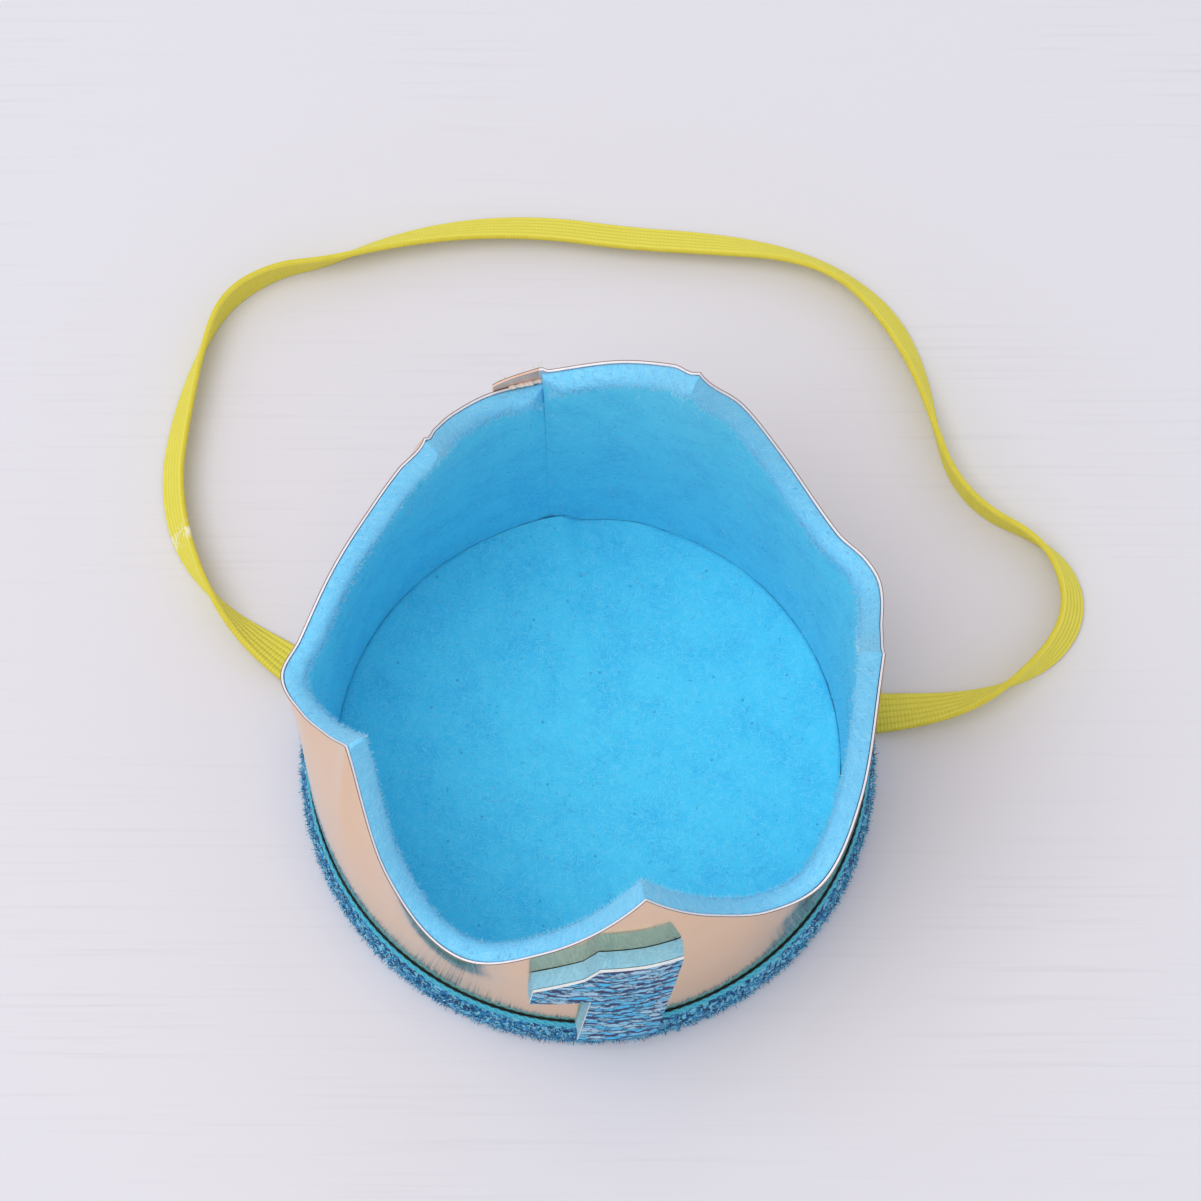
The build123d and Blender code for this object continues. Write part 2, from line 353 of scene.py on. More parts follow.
wear = add_node(tree, "ShaderNodeTexNoise", wear).outputs["Fac"]

near = {0: parts["Y"], 1: SCUFF_AT}
near = add_node(tree, "ShaderNodeMath", near, operation="SUBTRACT").outputs[0]
near = add_node(tree, "ShaderNodeMath", {0: near}, operation="ABSOLUTE").outputs[0]
near = {"Value": near, "From Min": SCUFF_REACH, "From Max": 0.0}
near = add_node(tree, "ShaderNodeMapRange", near).outputs[0]
frayed = {"Vector": uv, "Scale": 1 / FRAY_SIZE, "Detail": 2.0}
frayed = add_node(tree, "ShaderNodeTexNoise", frayed).outputs["Fac"]
frayed = {"Value": frayed, "From Min": FRAY_START, "From Max": FRAY_END}
frayed = add_node(tree, "ShaderNodeMapRange", frayed).outputs[0]
scuff = add_node(tree, "ShaderNodeMath", {0: near, 1: frayed}, operation="MULTIPLY").outputs[0]

# The grooves take painted shade and the rib crests a painted highlight; the wear and the scuff are real.
tone = linear("CDBB2C")
for factor, colour in ((groove, "E8DF55"), (wear, "DDD244"), (scuff, "EFEBD4")):
    tone = {0: factor, 6: tone, 7: linear(colour)}
    tone = add_node(tree, "ShaderNodeMix", tone, data_type="RGBA").outputs[2]
tree.links.new(tone, shader.inputs["Base Color"])
bump = {"Height": weft, "Strength": WEFT_STRENGTH, "Distance": WEFT_DEPTH * MM}
bump = add_node(tree, "ShaderNodeBump", bump).outputs[0]
tree.links.new(bump, shader.inputs["Normal"])

# %% Elastic as a cord
elastic_loop = finish_piece("elastic_tape", bm, [elastic_cloth], sharp_degrees=70)
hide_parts("elastic_loop")

# %% [markdown]
# ## Wall of the crown
# Foil and felt follow one surface: upright at the foot, then leaning in or out as a parabola up to a
# rim that swings between points and valleys. It could be sculpted, or cut from a cylinder. A rule that
# gives a point for a turn and a height keeps the two layers on each other all the way round. A turn is an
# angle in degrees from the back seam, going by way of the left side, as in the solids.

# %% Rim
SKIN_RADIUS = 42.5
PEAK_HEIGHT = 83.0
VALLEY_HEIGHT = 47.0
SEAM_LEFT_HEIGHT = 59.0
SEAM_RIGHT_HEIGHT = 63.0
PEAK_TURNS = (34.0, 113.0, 182.0, 251.0, 326.0)
# Each row is a turn and how far the rim stands inside the foot there, as a share of the radius.
RIM_LEAN_SHARES = (
    (0.0, 0.015),
    (11.0, 0.04),
    (21.0, 0.106),
    (28.0, 0.173),
    (34.0, 0.233),
    (40.0, 0.18),
    (47.0, 0.132),
    (58.0, 0.07),
    (73.0, 0.01),
    (81.0, -0.035),
    (91.0, 0.03),
    (101.0, 0.09),
    (113.0, 0.106),
    (130.0, 0.006),
    (147.5, -0.057),
    (163.0, -0.002),
    (182.0, 0.013),
    (197.0, 0.013),
    (207.0, -0.023),
    (219.0, -0.064),
    (233.0, -0.028),
    (251.0, 0.036),
    (266.0, 0.013),
    (279.0, -0.05),
    (285.0, -0.045),
    (292.0, -0.005),
    (309.0, 0.02),
    (318.0, 0.05),
    (326.0, 0.13),
    (333.0, 0.075),
    (345.0, 0.024),
    (360.0, 0.018),
)


def rim_height(turn):
    """A parabola from point to point, and half a parabola on each side of the seam."""
    first, last = PEAK_TURNS[0], PEAK_TURNS[-1]
    if turn <= first:
        return SEAM_LEFT_HEIGHT + (PEAK_HEIGHT - SEAM_LEFT_HEIGHT) * (turn / first) ** 2
    if turn >= last:
        share = (FULL_TURN - turn) / (FULL_TURN - last)
        return SEAM_RIGHT_HEIGHT + (PEAK_HEIGHT - SEAM_RIGHT_HEIGHT) * share**2
    start = max(peak for peak in PEAK_TURNS if peak <= turn)
    end = min(peak for peak in PEAK_TURNS if peak > turn)
    share = (2 * turn - start - end) / (end - start)
    return VALLEY_HEIGHT + (PEAK_HEIGHT - VALLEY_HEIGHT) * share**2


def rim_lean(turn):
    """A smooth curve through the rows of the table, as in the solids."""
    rows = RIM_LEAN_SHARES
    last = len(rows) - 1
    at = max(index for index in range(last) if rows[index][0] <= turn)
    slopes = []
    for index in (at, at + 1):
        before, after = rows[max(index - 1, 0)], rows[min(index + 1, last)]
        slopes.append((after[1] - before[1]) / (after[0] - before[0]))
    (start, low), (end, high) = rows[at], rows[at + 1]
    t = (turn - start) / (end - start)
    share = low + (high - low) * t * t * (3 - 2 * t)
    share += (end - start) * t * (1 - t) * (slopes[0] * (1 - t) - slopes[1] * t)
    return SKIN_RADIUS * share


front_point = PEAK_TURNS[2]
front_valley = (PEAK_TURNS[1] + PEAK_TURNS[2]) / 2
print("rim at the front valley and point:", rim_height(front_valley), rim_height(front_point))

# %% Wall
STRAIGHT_HEIGHT = 14.0
SEAM_AZIMUTH = 99.0


def degrees_of(arc_length):
    return math.degrees(arc_length / SKIN_RADIUS)


def arc_at(turn):
    return math.radians(turn) * SKIN_RADIUS


def wall_radius(turn, height):
    if height <= STRAIGHT_HEIGHT:
        return SKIN_RADIUS
    rise = (height - STRAIGHT_HEIGHT) / (rim_height(turn) - STRAIGHT_HEIGHT)
    return SKIN_RADIUS - rim_lean(turn) * rise**2


def wall_point(turn, height, inset):
    radius = wall_radius(turn % FULL_TURN, height) - inset
    angle = math.radians(SEAM_AZIMUTH + turn)
    return Vector((radius * math.cos(angle), radius * math.sin(angle), height))


print("front point at:", [round(value, 1) for value in wall_point(front_point, PEAK_HEIGHT, 0)])

# %% [markdown]
# ## Foil skin
# The skin is a strip of thin mirror film with a pale backing. It is rolled round the felt, and its
# right-hand end steps over the left-hand one at the back. It could be a single sheet with a Solidify
# modifier. Here the section goes up the outside, over the cut rim and down the inside, because the cut
# edge then has faces of its own and can show the coating and the white backing as fine lines.

# %% Foil skin
SKIN_THICKNESS = 0.4
SKIN_FOOT = 0.5
GLUE_LINE = 0.1
SEAM_GAP = 0.3
TAB_LENGTH = 7.5
JOGGLE_LENGTH = 0.8
SKIN_COLUMNS = 460
SKIN_RISES = 26
FILM_SHARE = 0.3
FILM_RIPPLE = 0.04
RIPPLE_SIZE = 11.0
FOIL_TONE = 0
BACKING_TONE = 1
EDGE_TONE = 2
STUCK_TONE = 3

half_gap = degrees_of(SEAM_GAP) / 2
skin_section = [(0.0, rise / SKIN_RISES) for rise in range(SKIN_RISES + 1)]
skin_section += [(SKIN_THICKNESS * FILM_SHARE, 1.0), (SKIN_THICKNESS, 1.0)]
skin_section += [(SKIN_THICKNESS, rise / SKIN_RISES) for rise in range(SKIN_RISES - 1, -1, -1)]
skin_section.append(skin_section[0])
skin_end = FULL_TURN + degrees_of(TAB_LENGTH)
step_end = FULL_TURN - half_gap
step_start = step_end - degrees_of(JOGGLE_LENGTH)


def skin_place(column, row):
    turn = half_gap + (skin_end - half_gap) * column / SKIN_COLUMNS
    inset, share = skin_section[row]
    rim = SEAM_RIGHT_HEIGHT if turn > FULL_TURN else rim_height(turn)
    step = min(max((turn - step_start) / (step_end - step_start), 0), 1)
    height = SKIN_FOOT + (rim - SKIN_FOOT) * share
    spot = wall_point(turn, height, inset - step * (GLUE_LINE + SKIN_THICKNESS))
    ripple = 1 + FILM_RIPPLE * waver(spot, RIPPLE_SIZE, seed=3) / SKIN_RADIUS
    return (spot.x * ripple, spot.y * ripple, spot.z), (arc_at(turn), height)


skin_tones = [FOIL_TONE] * SKIN_RISES + [EDGE_TONE]
skin_tones += [BACKING_TONE] * (len(skin_section) - len(skin_tones))
bm = shaped_grid(SKIN_COLUMNS, len(skin_section) - 1, skin_place, skin_tones)
skin_uv = bm.loops.layers.uv["pattern"]
for face in bm.faces:
    stuck = min(loop[skin_uv].uv.x for loop in face.loops) > arc_at(FULL_TURN)
    if face.material_index == BACKING_TONE and stuck:
        face.material_index = STUCK_TONE
close_tube(bm)

# %% Foil materials
# The foil mirrors table and trim in a warm tint, and faint clouds in its coating break the mirror up.
foil = mottled("champagne mirror foil", "F3D2B6", "F2D6C0", 9.0, Metallic=1.0, Roughness=0.1)
foil.node_tree.nodes["Principled BSDF"].inputs["Specular Tint"].default_value = linear("FFF2E2")
# The backing is a matt white paper-like film, seen as a fine line along the rim.
foil_back = mottled("white film backing", "F5EEF3", "ECE4EA", 1.5, Roughness=0.6)
# The cut edge of the coating is thin, dull and brown.
foil_edge = mottled("cut foil edge", "8C6F5C", "7B604F", 0.8, Metallic=0.6, Roughness=0.4)
# Dried glue soaked into the backing turns it tan and a little glossy.
stuck_back = mottled("backing under dried glue", "F0C6B4", "E2B7A2", 2.5, Roughness=0.4)
skin_finishes = [foil, foil_back, foil_edge, stuck_back]
skin = finish_piece("foil_skin", bm, skin_finishes, sharp_degrees=35)
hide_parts("outer_skin")

# %% [markdown]
# ## Felt
# Needled felt is a mat of short fibres that lie every way. A plain noise looks like stone, and hair on
# the whole face is heavy. Here noise is stretched into streaks at five angles, and the highest streak at
# each place wins, as the top fibre does. Where the felt is cut it is paler, partly from its cut fibres and
# partly as painted light where the rim stands in full light; the mesh says where with an attribute named
# cut. A real fibre is about 0.03 mm thick, too fine to show, so it is drawn coarser.

# %% Felt material
FIBRE_LENGTH = 2.2
FIBRE_WIDTH = 0.16
FIBRE_ANGLES = (8, 47, 83, 121, 160)
FIBRE_RELIEF = 0.2
FIBRE_START = 0.58
FIBRE_END = 0.8
CLOUD_SIZE = 7.0
CLOUD_START = 0.2
CLOUD_END = 0.6
TUFT_SIZE = 0.9
TUFT_PULL = 0.9
CUT_START = 0.55
CUT_END = 1.3
LINT_SPACING = 12.0
LINT_EDGE = 0.024
LINT_CORE = 0.012
LINT_STRENGTH = 0.45
LINT_COLOUR = "2F7BA6"


def felt_material(name, deep, base, bright, lit_cut_base, lit_cut_bright):
    """Short fibres that lie every way: stretched noise at several angles, the highest one on top."""
    material, tree, shader = new_material(name, Roughness=0.95, Sheen_Weight=0.08, Sheen_Roughness=0.6)
    shader.inputs["Specular IOR Level"].default_value = 0.15
    uv = add_node(tree, "ShaderNodeUVMap", {}, uv_map="pattern").outputs["UV"]
    highest = None
    for angle in FIBRE_ANGLES:
        place = {
            "Vector": uv,
            "Location": (angle, 3 * angle, 0),
            "Rotation": (0, 0, math.radians(angle)),
            "Scale": (FIBRE_LENGTH, FIBRE_WIDTH, 1),
        }
        turned = add_node(tree, "ShaderNodeMapping", place, vector_type="TEXTURE").outputs[0]
        streak = {"Vector": turned, "Scale": 1.0, "Detail": 1.0}
        streak = add_node(tree, "ShaderNodeTexNoise", streak, noise_dimensions="2D").outputs["Fac"]
        if highest:
            streak = {0: highest, 1: streak}
            streak = add_node(tree, "ShaderNodeMath", streak, operation="MAXIMUM").outputs[0]
        highest = streak
    fibre = {"Value": highest, "From Min": FIBRE_START, "From Max": FIBRE_END}
    fibre = add_node(tree, "ShaderNodeMapRange", fibre).outputs[0]
    cloud = {"Vector": uv, "Scale": 1 / CLOUD_SIZE, "Detail": 3.0}
    cloud = add_node(tree, "ShaderNodeTexNoise", cloud, noise_dimensions="2D").outputs["Fac"]
    cloud = {"Value": cloud, "From Min": CLOUD_START, "From Max": CLOUD_END}
    cloud = add_node(tree, "ShaderNodeMapRange", cloud).outputs[0]

    tuft = {"Vector": uv, "Scale": 1 / TUFT_SIZE, "Detail": 3.0}
    tuft = add_node(tree, "ShaderNodeTexNoise", tuft, noise_dimensions="2D").outputs["Fac"]
    # The cut edge is painted paler: partly its cut fibres, partly painted light on the rim in full light.
    cut = add_node(tree, "ShaderNodeAttribute", {}, attribute_name="cut").outputs["Fac"]
    edge = {0: tuft, 1: TUFT_PULL, 2: cut}
    edge = add_node(tree, "ShaderNodeMath", edge, operation="MULTIPLY_ADD").outputs[0]
    edge = {"Value": edge, "From Min": CUT_START, "From Max": CUT_END}
    edge = add_node(tree, "ShaderNodeMapRange", edge).outputs[0]
    pale = add_node(tree, "ShaderNodeMath", {0: edge, 1: fibre}, operation="MULTIPLY").outputs[0]

    lint = {"Vector": uv, "Scale": 1 / LINT_SPACING}
    lint = add_node(tree, "ShaderNodeTexVoronoi", lint, voronoi_dimensions="2D").outputs["Distance"]
    lint = {"Value": lint, "From Min": LINT_EDGE, "From Max": LINT_CORE, "To Max": LINT_STRENGTH}
    lint = add_node(tree, "ShaderNodeMapRange", lint).outputs[0]

    tone = linear(deep)
    for factor, colour in (
        (cloud, base),
        (fibre, bright),
        (edge, lit_cut_base),
        (lint, LINT_COLOUR),
        (pale, lit_cut_bright),
    ):
        tone = {0: factor, 6: tone, 7: linear(colour)}
        tone = add_node(tree, "ShaderNodeMix", tone, data_type="RGBA").outputs[2]
    tree.links.new(tone, shader.inputs["Base Color"])
    bump = {"Height": highest, "Strength": 0.5, "Distance": FIBRE_RELIEF * MM}
    bump = add_node(tree, "ShaderNodeBump", bump).outputs[0]
    tree.links.new(bump, shader.inputs["Normal"])
    return material


# The felt is matt with a faint bloom of light on its nap, and bright where fibres lie on top.
# The two cut tones are paler, partly for the cut fibres and partly as painted light on the rim.
blue_felt = felt_material("light blue needled felt", "4ACBF2", "5ADCFA", "7CE4FC", "70CAF4", "90D8F9")
print("fibre angles in the felt:", len(FIBRE_ANGLES))

# %% [markdown]
# ## Felt liner
# The liner is a strip of felt about 3 mm thick, cut with the same points as the foil and butted at the
# back. It could be the foil's surface with a thickness. A section of its own was chosen because the cut
# rim is soft: it rounds over towards the inside, wavers a little, and dips into a groove at the seam.

# %% Felt liner
FELT_THICKNESS = 3.0
FELT_INSET = SKIN_THICKNESS + GLUE_LINE
INNER_INSET = FELT_INSET + FELT_THICKNESS
LINER_COLUMNS = 400
OUTER_RISES = 6
INNER_RISES = 26
BUTT_GAP = 0.02
SEAM_GROOVE = 1.7
SEAM_SOFT = 1.3
GROOVE_FOOT = 0.2
GROOVE_RISE = 6
FOOT_PLAIN = 1.0
RAG_HEIGHT = 0.22
RAG_SIZE = 1.6
CUT_FULL = 1.35
CUT_FADE = 0.55
# Each row is a height, a size in mm and a seed.
FELT_LUMPS = ((0.16, 9.0, 5), (0.1, 2.2, 6))
# Each row is an inset and a drop below the rim, in mm, over the cut edge from the foil to the inside.
CUT_EDGE = (
    (0.5, 0.35),
    (0.58, 0.12),
    (0.85, 0.0),
    (1.4, -0.06),
    (2.0, -0.02),
    (2.55, 0.16),
    (2.98, 0.5),
    (3.28, 0.95),
    (3.44, 1.5),
    (3.5, 2.2),
)
outer_drop, inner_drop = CUT_EDGE[0][1], CUT_EDGE[-1][1]
liner_section = [(FELT_INSET, rise / OUTER_RISES, outer_drop) for rise in range(OUTER_RISES)]
liner_section += [(inset, 1.0, drop) for inset, drop in CUT_EDGE]
liner_section += [(INNER_INSET, rise / INNER_RISES, inner_drop) for rise in range(INNER_RISES - 1, -1, -1)]
liner_section.append(liner_section[0])


def liner_place(column, row):
    butt = degrees_of(BUTT_GAP) / 2
    turn = butt + (FULL_TURN - 2 * butt) * column / LINER_COLUMNS
    inset, share, drop = liner_section[row]
    height = (rim_height(turn) - drop) * share
    arc = min(arc_at(turn), arc_at(FULL_TURN - turn))
    depth = (inset - FELT_INSET) / FELT_THICKNESS
    groove = SEAM_GROOVE * math.exp(-((arc / SEAM_SOFT) ** 2)) * depth
    groove *= GROOVE_FOOT + (1 - GROOVE_FOOT) * share**GROOVE_RISE
    spot = wall_point(turn, height, inset - groove)
    lump = depth * sum(high * waver(spot, size, seed) for high, size, seed in FELT_LUMPS)
    ragged = RAG_HEIGHT * waver(spot, RAG_SIZE, seed=7) * (share == 1.0) * depth
    if height > FOOT_PLAIN:
        spot = wall_point(turn, height + ragged, inset - groove + lump)
    return spot, (arc_at(turn), height - inset)


# The cut share paints the rim paler: partly its cut fibres, partly painted light.
cut_shares = [0.0] * len(liner_section)
for row, (inset, drop) in enumerate(CUT_EDGE):
    cut_shares[OUTER_RISES + row] = min(1.0, CUT_FULL - CUT_FADE * max(drop, 0))
bm = shaped_grid(LINER_COLUMNS, len(liner_section) - 1, liner_place, cut_shares=cut_shares)
close_tube(bm)
liner = finish_piece("felt_cup", bm, [blue_felt], sharp_degrees=60)
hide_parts("felt_liner")

# %% [markdown]
# ## Floor disc
# A disc of the same felt closes the cup. It is cut a little too large, so its edge buckles up at the back
# and sends a crease inwards. It could be a flat cylinder with a sculpted top. Here a radial line is spun
# into a disc of fine rings, because those rings give the buckle enough points to rise smoothly.

# %% Floor buckle
FLOOR_FIT = 0.3
BUCKLE_AZIMUTH = 96.0
BUCKLE_START = 0.72
BUCKLE_REACH = 0.28
BUCKLE_HEIGHT = 2.6
BUCKLE_LEFT = 13.0
BUCKLE_RIGHT = 2.6
SECOND_HEIGHT = 0.8
SECOND_TURN = 17
SECOND_SPREAD = 6.0
CREASE_DEPTH = 0.35
CREASE_OFFSET = 1.5
CREASE_SLANT = 0.16
CREASE_BACK = 38
CREASE_WIDTH = 0.9
CREASE_FRONT = 8
CREASE_FADE = 18
# Each row is a height, a size in mm and a seed.
FLOOR_LUMPS = ((0.25, 13.0, 9), (0.06, 2.0, 4))
floor_radius = SKIN_RADIUS - INNER_INSET - FLOOR_FIT * GLUE_LINE


def floor_lift(x, y):
    """How far the top of the disc is raised at a place, by its buckles, its crease and soft lumps."""
    from_back = math.degrees(math.atan2(y, x)) - BUCKLE_AZIMUTH
    edge = max(0.0, math.hypot(x, y) / floor_radius - BUCKLE_START) / BUCKLE_REACH
    spread = BUCKLE_LEFT if from_back > 0 else BUCKLE_RIGHT
    buckle = BUCKLE_HEIGHT * math.exp(-((from_back / spread) ** 2)) * edge**2
    second = SECOND_HEIGHT * math.exp(-(((from_back + SECOND_TURN) / SECOND_SPREAD) ** 2)) * edge**2
    from_crease = x + CREASE_OFFSET + CREASE_SLANT * (y - CREASE_BACK)
    crease = -CREASE_DEPTH * math.exp(-((from_crease / CREASE_WIDTH) ** 2))
    crease *= min(max((y - CREASE_FRONT) / CREASE_FADE, 0), 1)
    lift = buckle + second + crease
    for high, size, seed in FLOOR_LUMPS:
        lift += high * waver((x, y, 0), size, seed)
    return lift


print("floor radius in mm:", round(floor_radius, 2))

# %% Floor disc
FLOOR_THICKNESS = 3.0
FLOOR_RINGS = 56
FLOOR_STEPS = 200
# Each row is an inset from the edge and a drop below the top, in mm, round the cut edge.
FLOOR_EDGE = ((0.1, 0.05), (0.0, 0.25))

bm = bmesh.new()
profile = [(floor_radius * ring / FLOOR_RINGS, FLOOR_THICKNESS) for ring in range(FLOOR_RINGS)]
profile += [(floor_radius - inset, FLOOR_THICKNESS - drop) for inset, drop in FLOOR_EDGE]
profile += [(floor_radius, 0.0), (0.0, 0.0)]
line = [bm.verts.new((radius * MM, 0, height * MM)) for radius, height in profile]
edges = [bm.edges.new(pair) for pair in zip(line, line[1:])]
bmesh.ops.spin(
    bm,
    geom=line + edges,
    axis=(0, 0, 1),
    cent=(0, 0, 0),
    steps=FLOOR_STEPS,
    angle=2 * math.pi,
    use_merge=True,
)
bmesh.ops.remove_doubles(bm, verts=bm.verts, dist=WELD)
for vert in bm.verts:
    if vert.co.z > FOOT_PLAIN * MM:
        vert.co.z += floor_lift(vert.co.x / MM, vert.co.y / MM) * MM
uv_layer = bm.loops.layers.uv.new("pattern")
for face in bm.faces:
    for loop in face.loops:
        loop[uv_layer].uv = (loop.vert.co.x / MM, loop.vert.co.y / MM)
floor_disc = finish_piece("felt_floor", bm, [blue_felt], sharp_degrees=60)
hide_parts("floor_disc")

# %% [markdown]
# ## Loose fibres
# Cut felt is never clean: fibres stand out of the cut edge and lie loose on the faces. They could be a
# hair system, but each piece here is made as a mesh. One fibre is a thin three-sided cone, cut in
# the middle and bent, so it has few faces. Copies of a few are turned and set in place by seeded chance.
# As in the felt, they are drawn thicker than real ones so that they show.

# %% Strands
TIP_TAPER = 5
BEND_SHORTENS = 0.3
ALL_SMOOTH = 179


def strand(length, width, bend, tone):
    bm = bmesh.new()
    bmesh.ops.create_cone(
        bm,
        cap_ends=True,
        cap_tris=False,
        segments=3,
        radius1=width / 2,
        radius2=width / TIP_TAPER,
        depth=length,
    )
    geometry = bm.verts[:] + bm.edges[:] + bm.faces[:]
    bmesh.ops.bisect_plane(bm, geom=geometry, plane_co=(0, 0, 0), plane_no=(0, 0, 1))
    for vert in bm.verts:
        along = vert.co.z / length + 0.5
        bent = vert.co.x + bend * length * along**2
        vert.co = Vector((bent, vert.co.y, length * along * (1 - BEND_SHORTENS * bend))) * MM
    for face in bm.faces:
        face.material_index = tone
    mesh = bpy.data.meshes.new("strand")
    bm.to_mesh(mesh)
    bm.free()
    return mesh


def plant(bm, strands, spot, direction, size):
    """A copy of one of the strands with its root at the spot, in mm, growing that way."""
    copy = draw.choice(strands).copy()
    turn = Vector(direction).to_track_quat("Z", "Y").to_matrix().to_4x4()
    roll = Matrix.Rotation(draw.uniform(0, 2 * math.pi), 4, "Z")
    copy.transform(Matrix.Translation(Vector(spot) * MM) @ turn @ roll @ Matrix.Scale(size, 4))
    bm.from_mesh(copy)
    bpy.data.meshes.remove(copy)


def any_way():
    return Vector((draw.gauss(0, 1), draw.gauss(0, 1), draw.gauss(0, 1))).normalized()


# %% Felt fibres
FIBRE_THICKNESS = 0.09
FIBRE_BENDS = (0.2, 0.6, 1.0)
RIM_FIBRES = 8400
RIM_ROWS = (2, 3, 4, 5, 6, 7, 7, 8, 8, 9)
RIM_LENGTHS = (0.35, 0.9)
RIM_STRAY = 0.7
RIM_RISE = 0.7
RIM_MIDDLE = 1.6
RIM_FLARE = 0.6
FACE_FIBRES = 2600
FACE_LENGTHS = (0.5, 1.2)
FACE_FOOT = 5
FACE_TOP = 2
FACE_ROOT = 0.05
FLOOR_LENGTHS = (0.5, 1.3)
FIBRE_ROOT = 0.1
FIBRE_LIFT = 0.45

# A strand is made 1 mm long, so that the size of a copy is its length in mm.
felt_fibres = [strand(1.0, FIBRE_THICKNESS, bend, tone) for bend in FIBRE_BENDS for tone in (0, 1)]
pale_fibres = felt_fibres[::2]
bm = bmesh.new()
for count in range(RIM_FIBRES):
    turn = draw.uniform(half_gap, FULL_TURN - half_gap)
    inset, drop = CUT_EDGE[draw.choice(RIM_ROWS)]
    root = wall_point(turn, rim_height(turn) - drop, inset)
    inwards = Vector((-root.x, -root.y, 0)).normalized()
    flare = inwards * (inset - RIM_MIDDLE) * RIM_FLARE
    direction = any_way() * RIM_STRAY + Vector((0, 0, RIM_RISE)) + flare
    root = root - direction.normalized() * FIBRE_ROOT
    plant(bm, pale_fibres, root, direction, draw.uniform(*RIM_LENGTHS))
for count in range(FACE_FIBRES):
    turn = draw.uniform(half_gap, FULL_TURN - half_gap)
    height = draw.uniform(FACE_FOOT, rim_height(turn) - FACE_TOP)
    root = wall_point(turn, height, INNER_INSET)
    inwards = Vector((-root.x, -root.y, 0)).normalized()
    direction = any_way() + inwards * FIBRE_LIFT
    plant(bm, felt_fibres, root - inwards * FACE_ROOT, direction, draw.uniform(*FACE_LENGTHS))
for count in range(FACE_FIBRES):
    radius = floor_radius * math.sqrt(draw.random())
    angle = draw.uniform(0, 2 * math.pi)
    x, y = radius * math.cos(angle), radius * math.sin(angle)
    root = (x, y, FLOOR_THICKNESS + floor_lift(x, y) - FIBRE_ROOT)
    direction = any_way() + Vector((0, 0, FIBRE_LIFT))
    plant(bm, felt_fibres, root, direction, draw.uniform(*FLOOR_LENGTHS))
# Single fibres are matt and a shade paler than the felt they come from. The pale tone, used alone at
# the rim, is painted light that lifts the shade among the strands.
lit_pale_fibre = mottled("pale felt fibre", "A2DEF9", "B6E6FB", 1.2, Roughness=0.9)
blue_fibre = mottled("blue felt fibre", "68D7F8", "7CE1FB", 1.2, Roughness=0.9)
finish_piece("felt_fibres", bm, [lit_pale_fibre, blue_fibre], sharp_degrees=ALL_SMOOTH)

# %% [markdown]
# ## Tinsel trim
# A narrow ribbon goes round the foot. Two twisted turquoise cords make its header, and below them a pile
# of short metallic strands flares outwards. The cords could be modelled as twisted plies. At this size a
# wavy relief with slanting lines looks the same, so header and body are one section carried round the
# foot, which lifts over the lap of the foil and is open at its foot for the ends of the elastic.

# %% Trim section
TRIM_HEIGHT = 9.6
TRIM_RADIUS = SKIN_RADIUS + GLUE_LINE
HEADER_CORD = 1.1
CORD_BULGE = 0.3
CORD_CUTS = 8
TAPE_EDGE = 0.18
PILE_FOOT = 1.1
PILE_TOP = 0.35
PILE_BELLY = 0.8
PILE_CUTS = 8
PILE_TONE = 0
CORD_TONE = 1
SHADE_LEDGE_TONE = 2


def pile_out(share):
    """How far the pile's ground stands out, from the foot at 0 to the header at 1."""
    return PILE_FOOT + (PILE_TOP - PILE_FOOT) * share + PILE_BELLY * math.sin(math.pi * share)


header_foot = TRIM_HEIGHT - 2 * HEADER_CORD
trim_section = [(0.0, 0.0, PILE_TONE)]
for cut in range(PILE_CUTS + 1):
    share = cut / PILE_CUTS
    trim_section.append((pile_out(share), header_foot * share, PILE_TONE))
for cord in (0, 1):
    for cut in range(CORD_CUTS + 1):
        share = cut / CORD_CUTS
        out = TAPE_EDGE + HEADER_CORD * CORD_BULGE * math.sin(math.pi * share)
        # The top of the upper cord and the ledge behind it take the painted shade tone.
        top_end = cord == 1 and cut == CORD_CUTS
        tone = SHADE_LEDGE_TONE if top_end else CORD_TONE
        trim_section.append((out, header_foot + HEADER_CORD * (cord + share), tone))
trim_section.append((0.0, TRIM_HEIGHT, SHADE_LEDGE_TONE))
trim_section.append(trim_section[0])
trim_tones = [tone for out, height, tone in trim_section]
print("points round the trim:", len(trim_section) - 1)

# %% Trim body
TRIM_GAP = 0.1
TRIM_COLUMNS = 900
TWIST_PITCH = 1.5
TWIST_RELIEF = 0.07
TWIST_SLANT = 0.5
HEADER_SWAY = 0.18
SWAY_SIZE = 14.0
GROUND_LUMP = 0.15
GROUND_SIZE = 3.0
LAP_SOFT = 3.0
SLOT_CLEARANCE = 0.4


def lap_rise(turn):
    """How far the trim is lifted where it passes over the lap of the foil."""
    past_lap = min(turn - degrees_of(TAB_LENGTH), FULL_TURN - degrees_of(JOGGLE_LENGTH) - turn)
    share = min(max(1 - past_lap / LAP_SOFT, 0), 1)
    return (SKIN_THICKNESS + GLUE_LINE) * share * share * (3 - 2 * share)


def slot_height(turn):
    """The trim is open at its foot where an end of the elastic passes under it."""
    angle = math.radians(SEAM_AZIMUTH + turn)
    spot = Vector((TRIM_RADIUS * math.cos(angle), TRIM_RADIUS * math.sin(angle)))
    for x, y, tilt in (ELASTIC_ROUTE[0], ELASTIC_ROUTE[-1]):
        if (spot - Vector((x, y))).length < ELASTIC_WIDTH / 2 + SLOT_CLEARANCE:
            return ELASTIC_THICKNESS + GLUE_LINE
    return 0.0


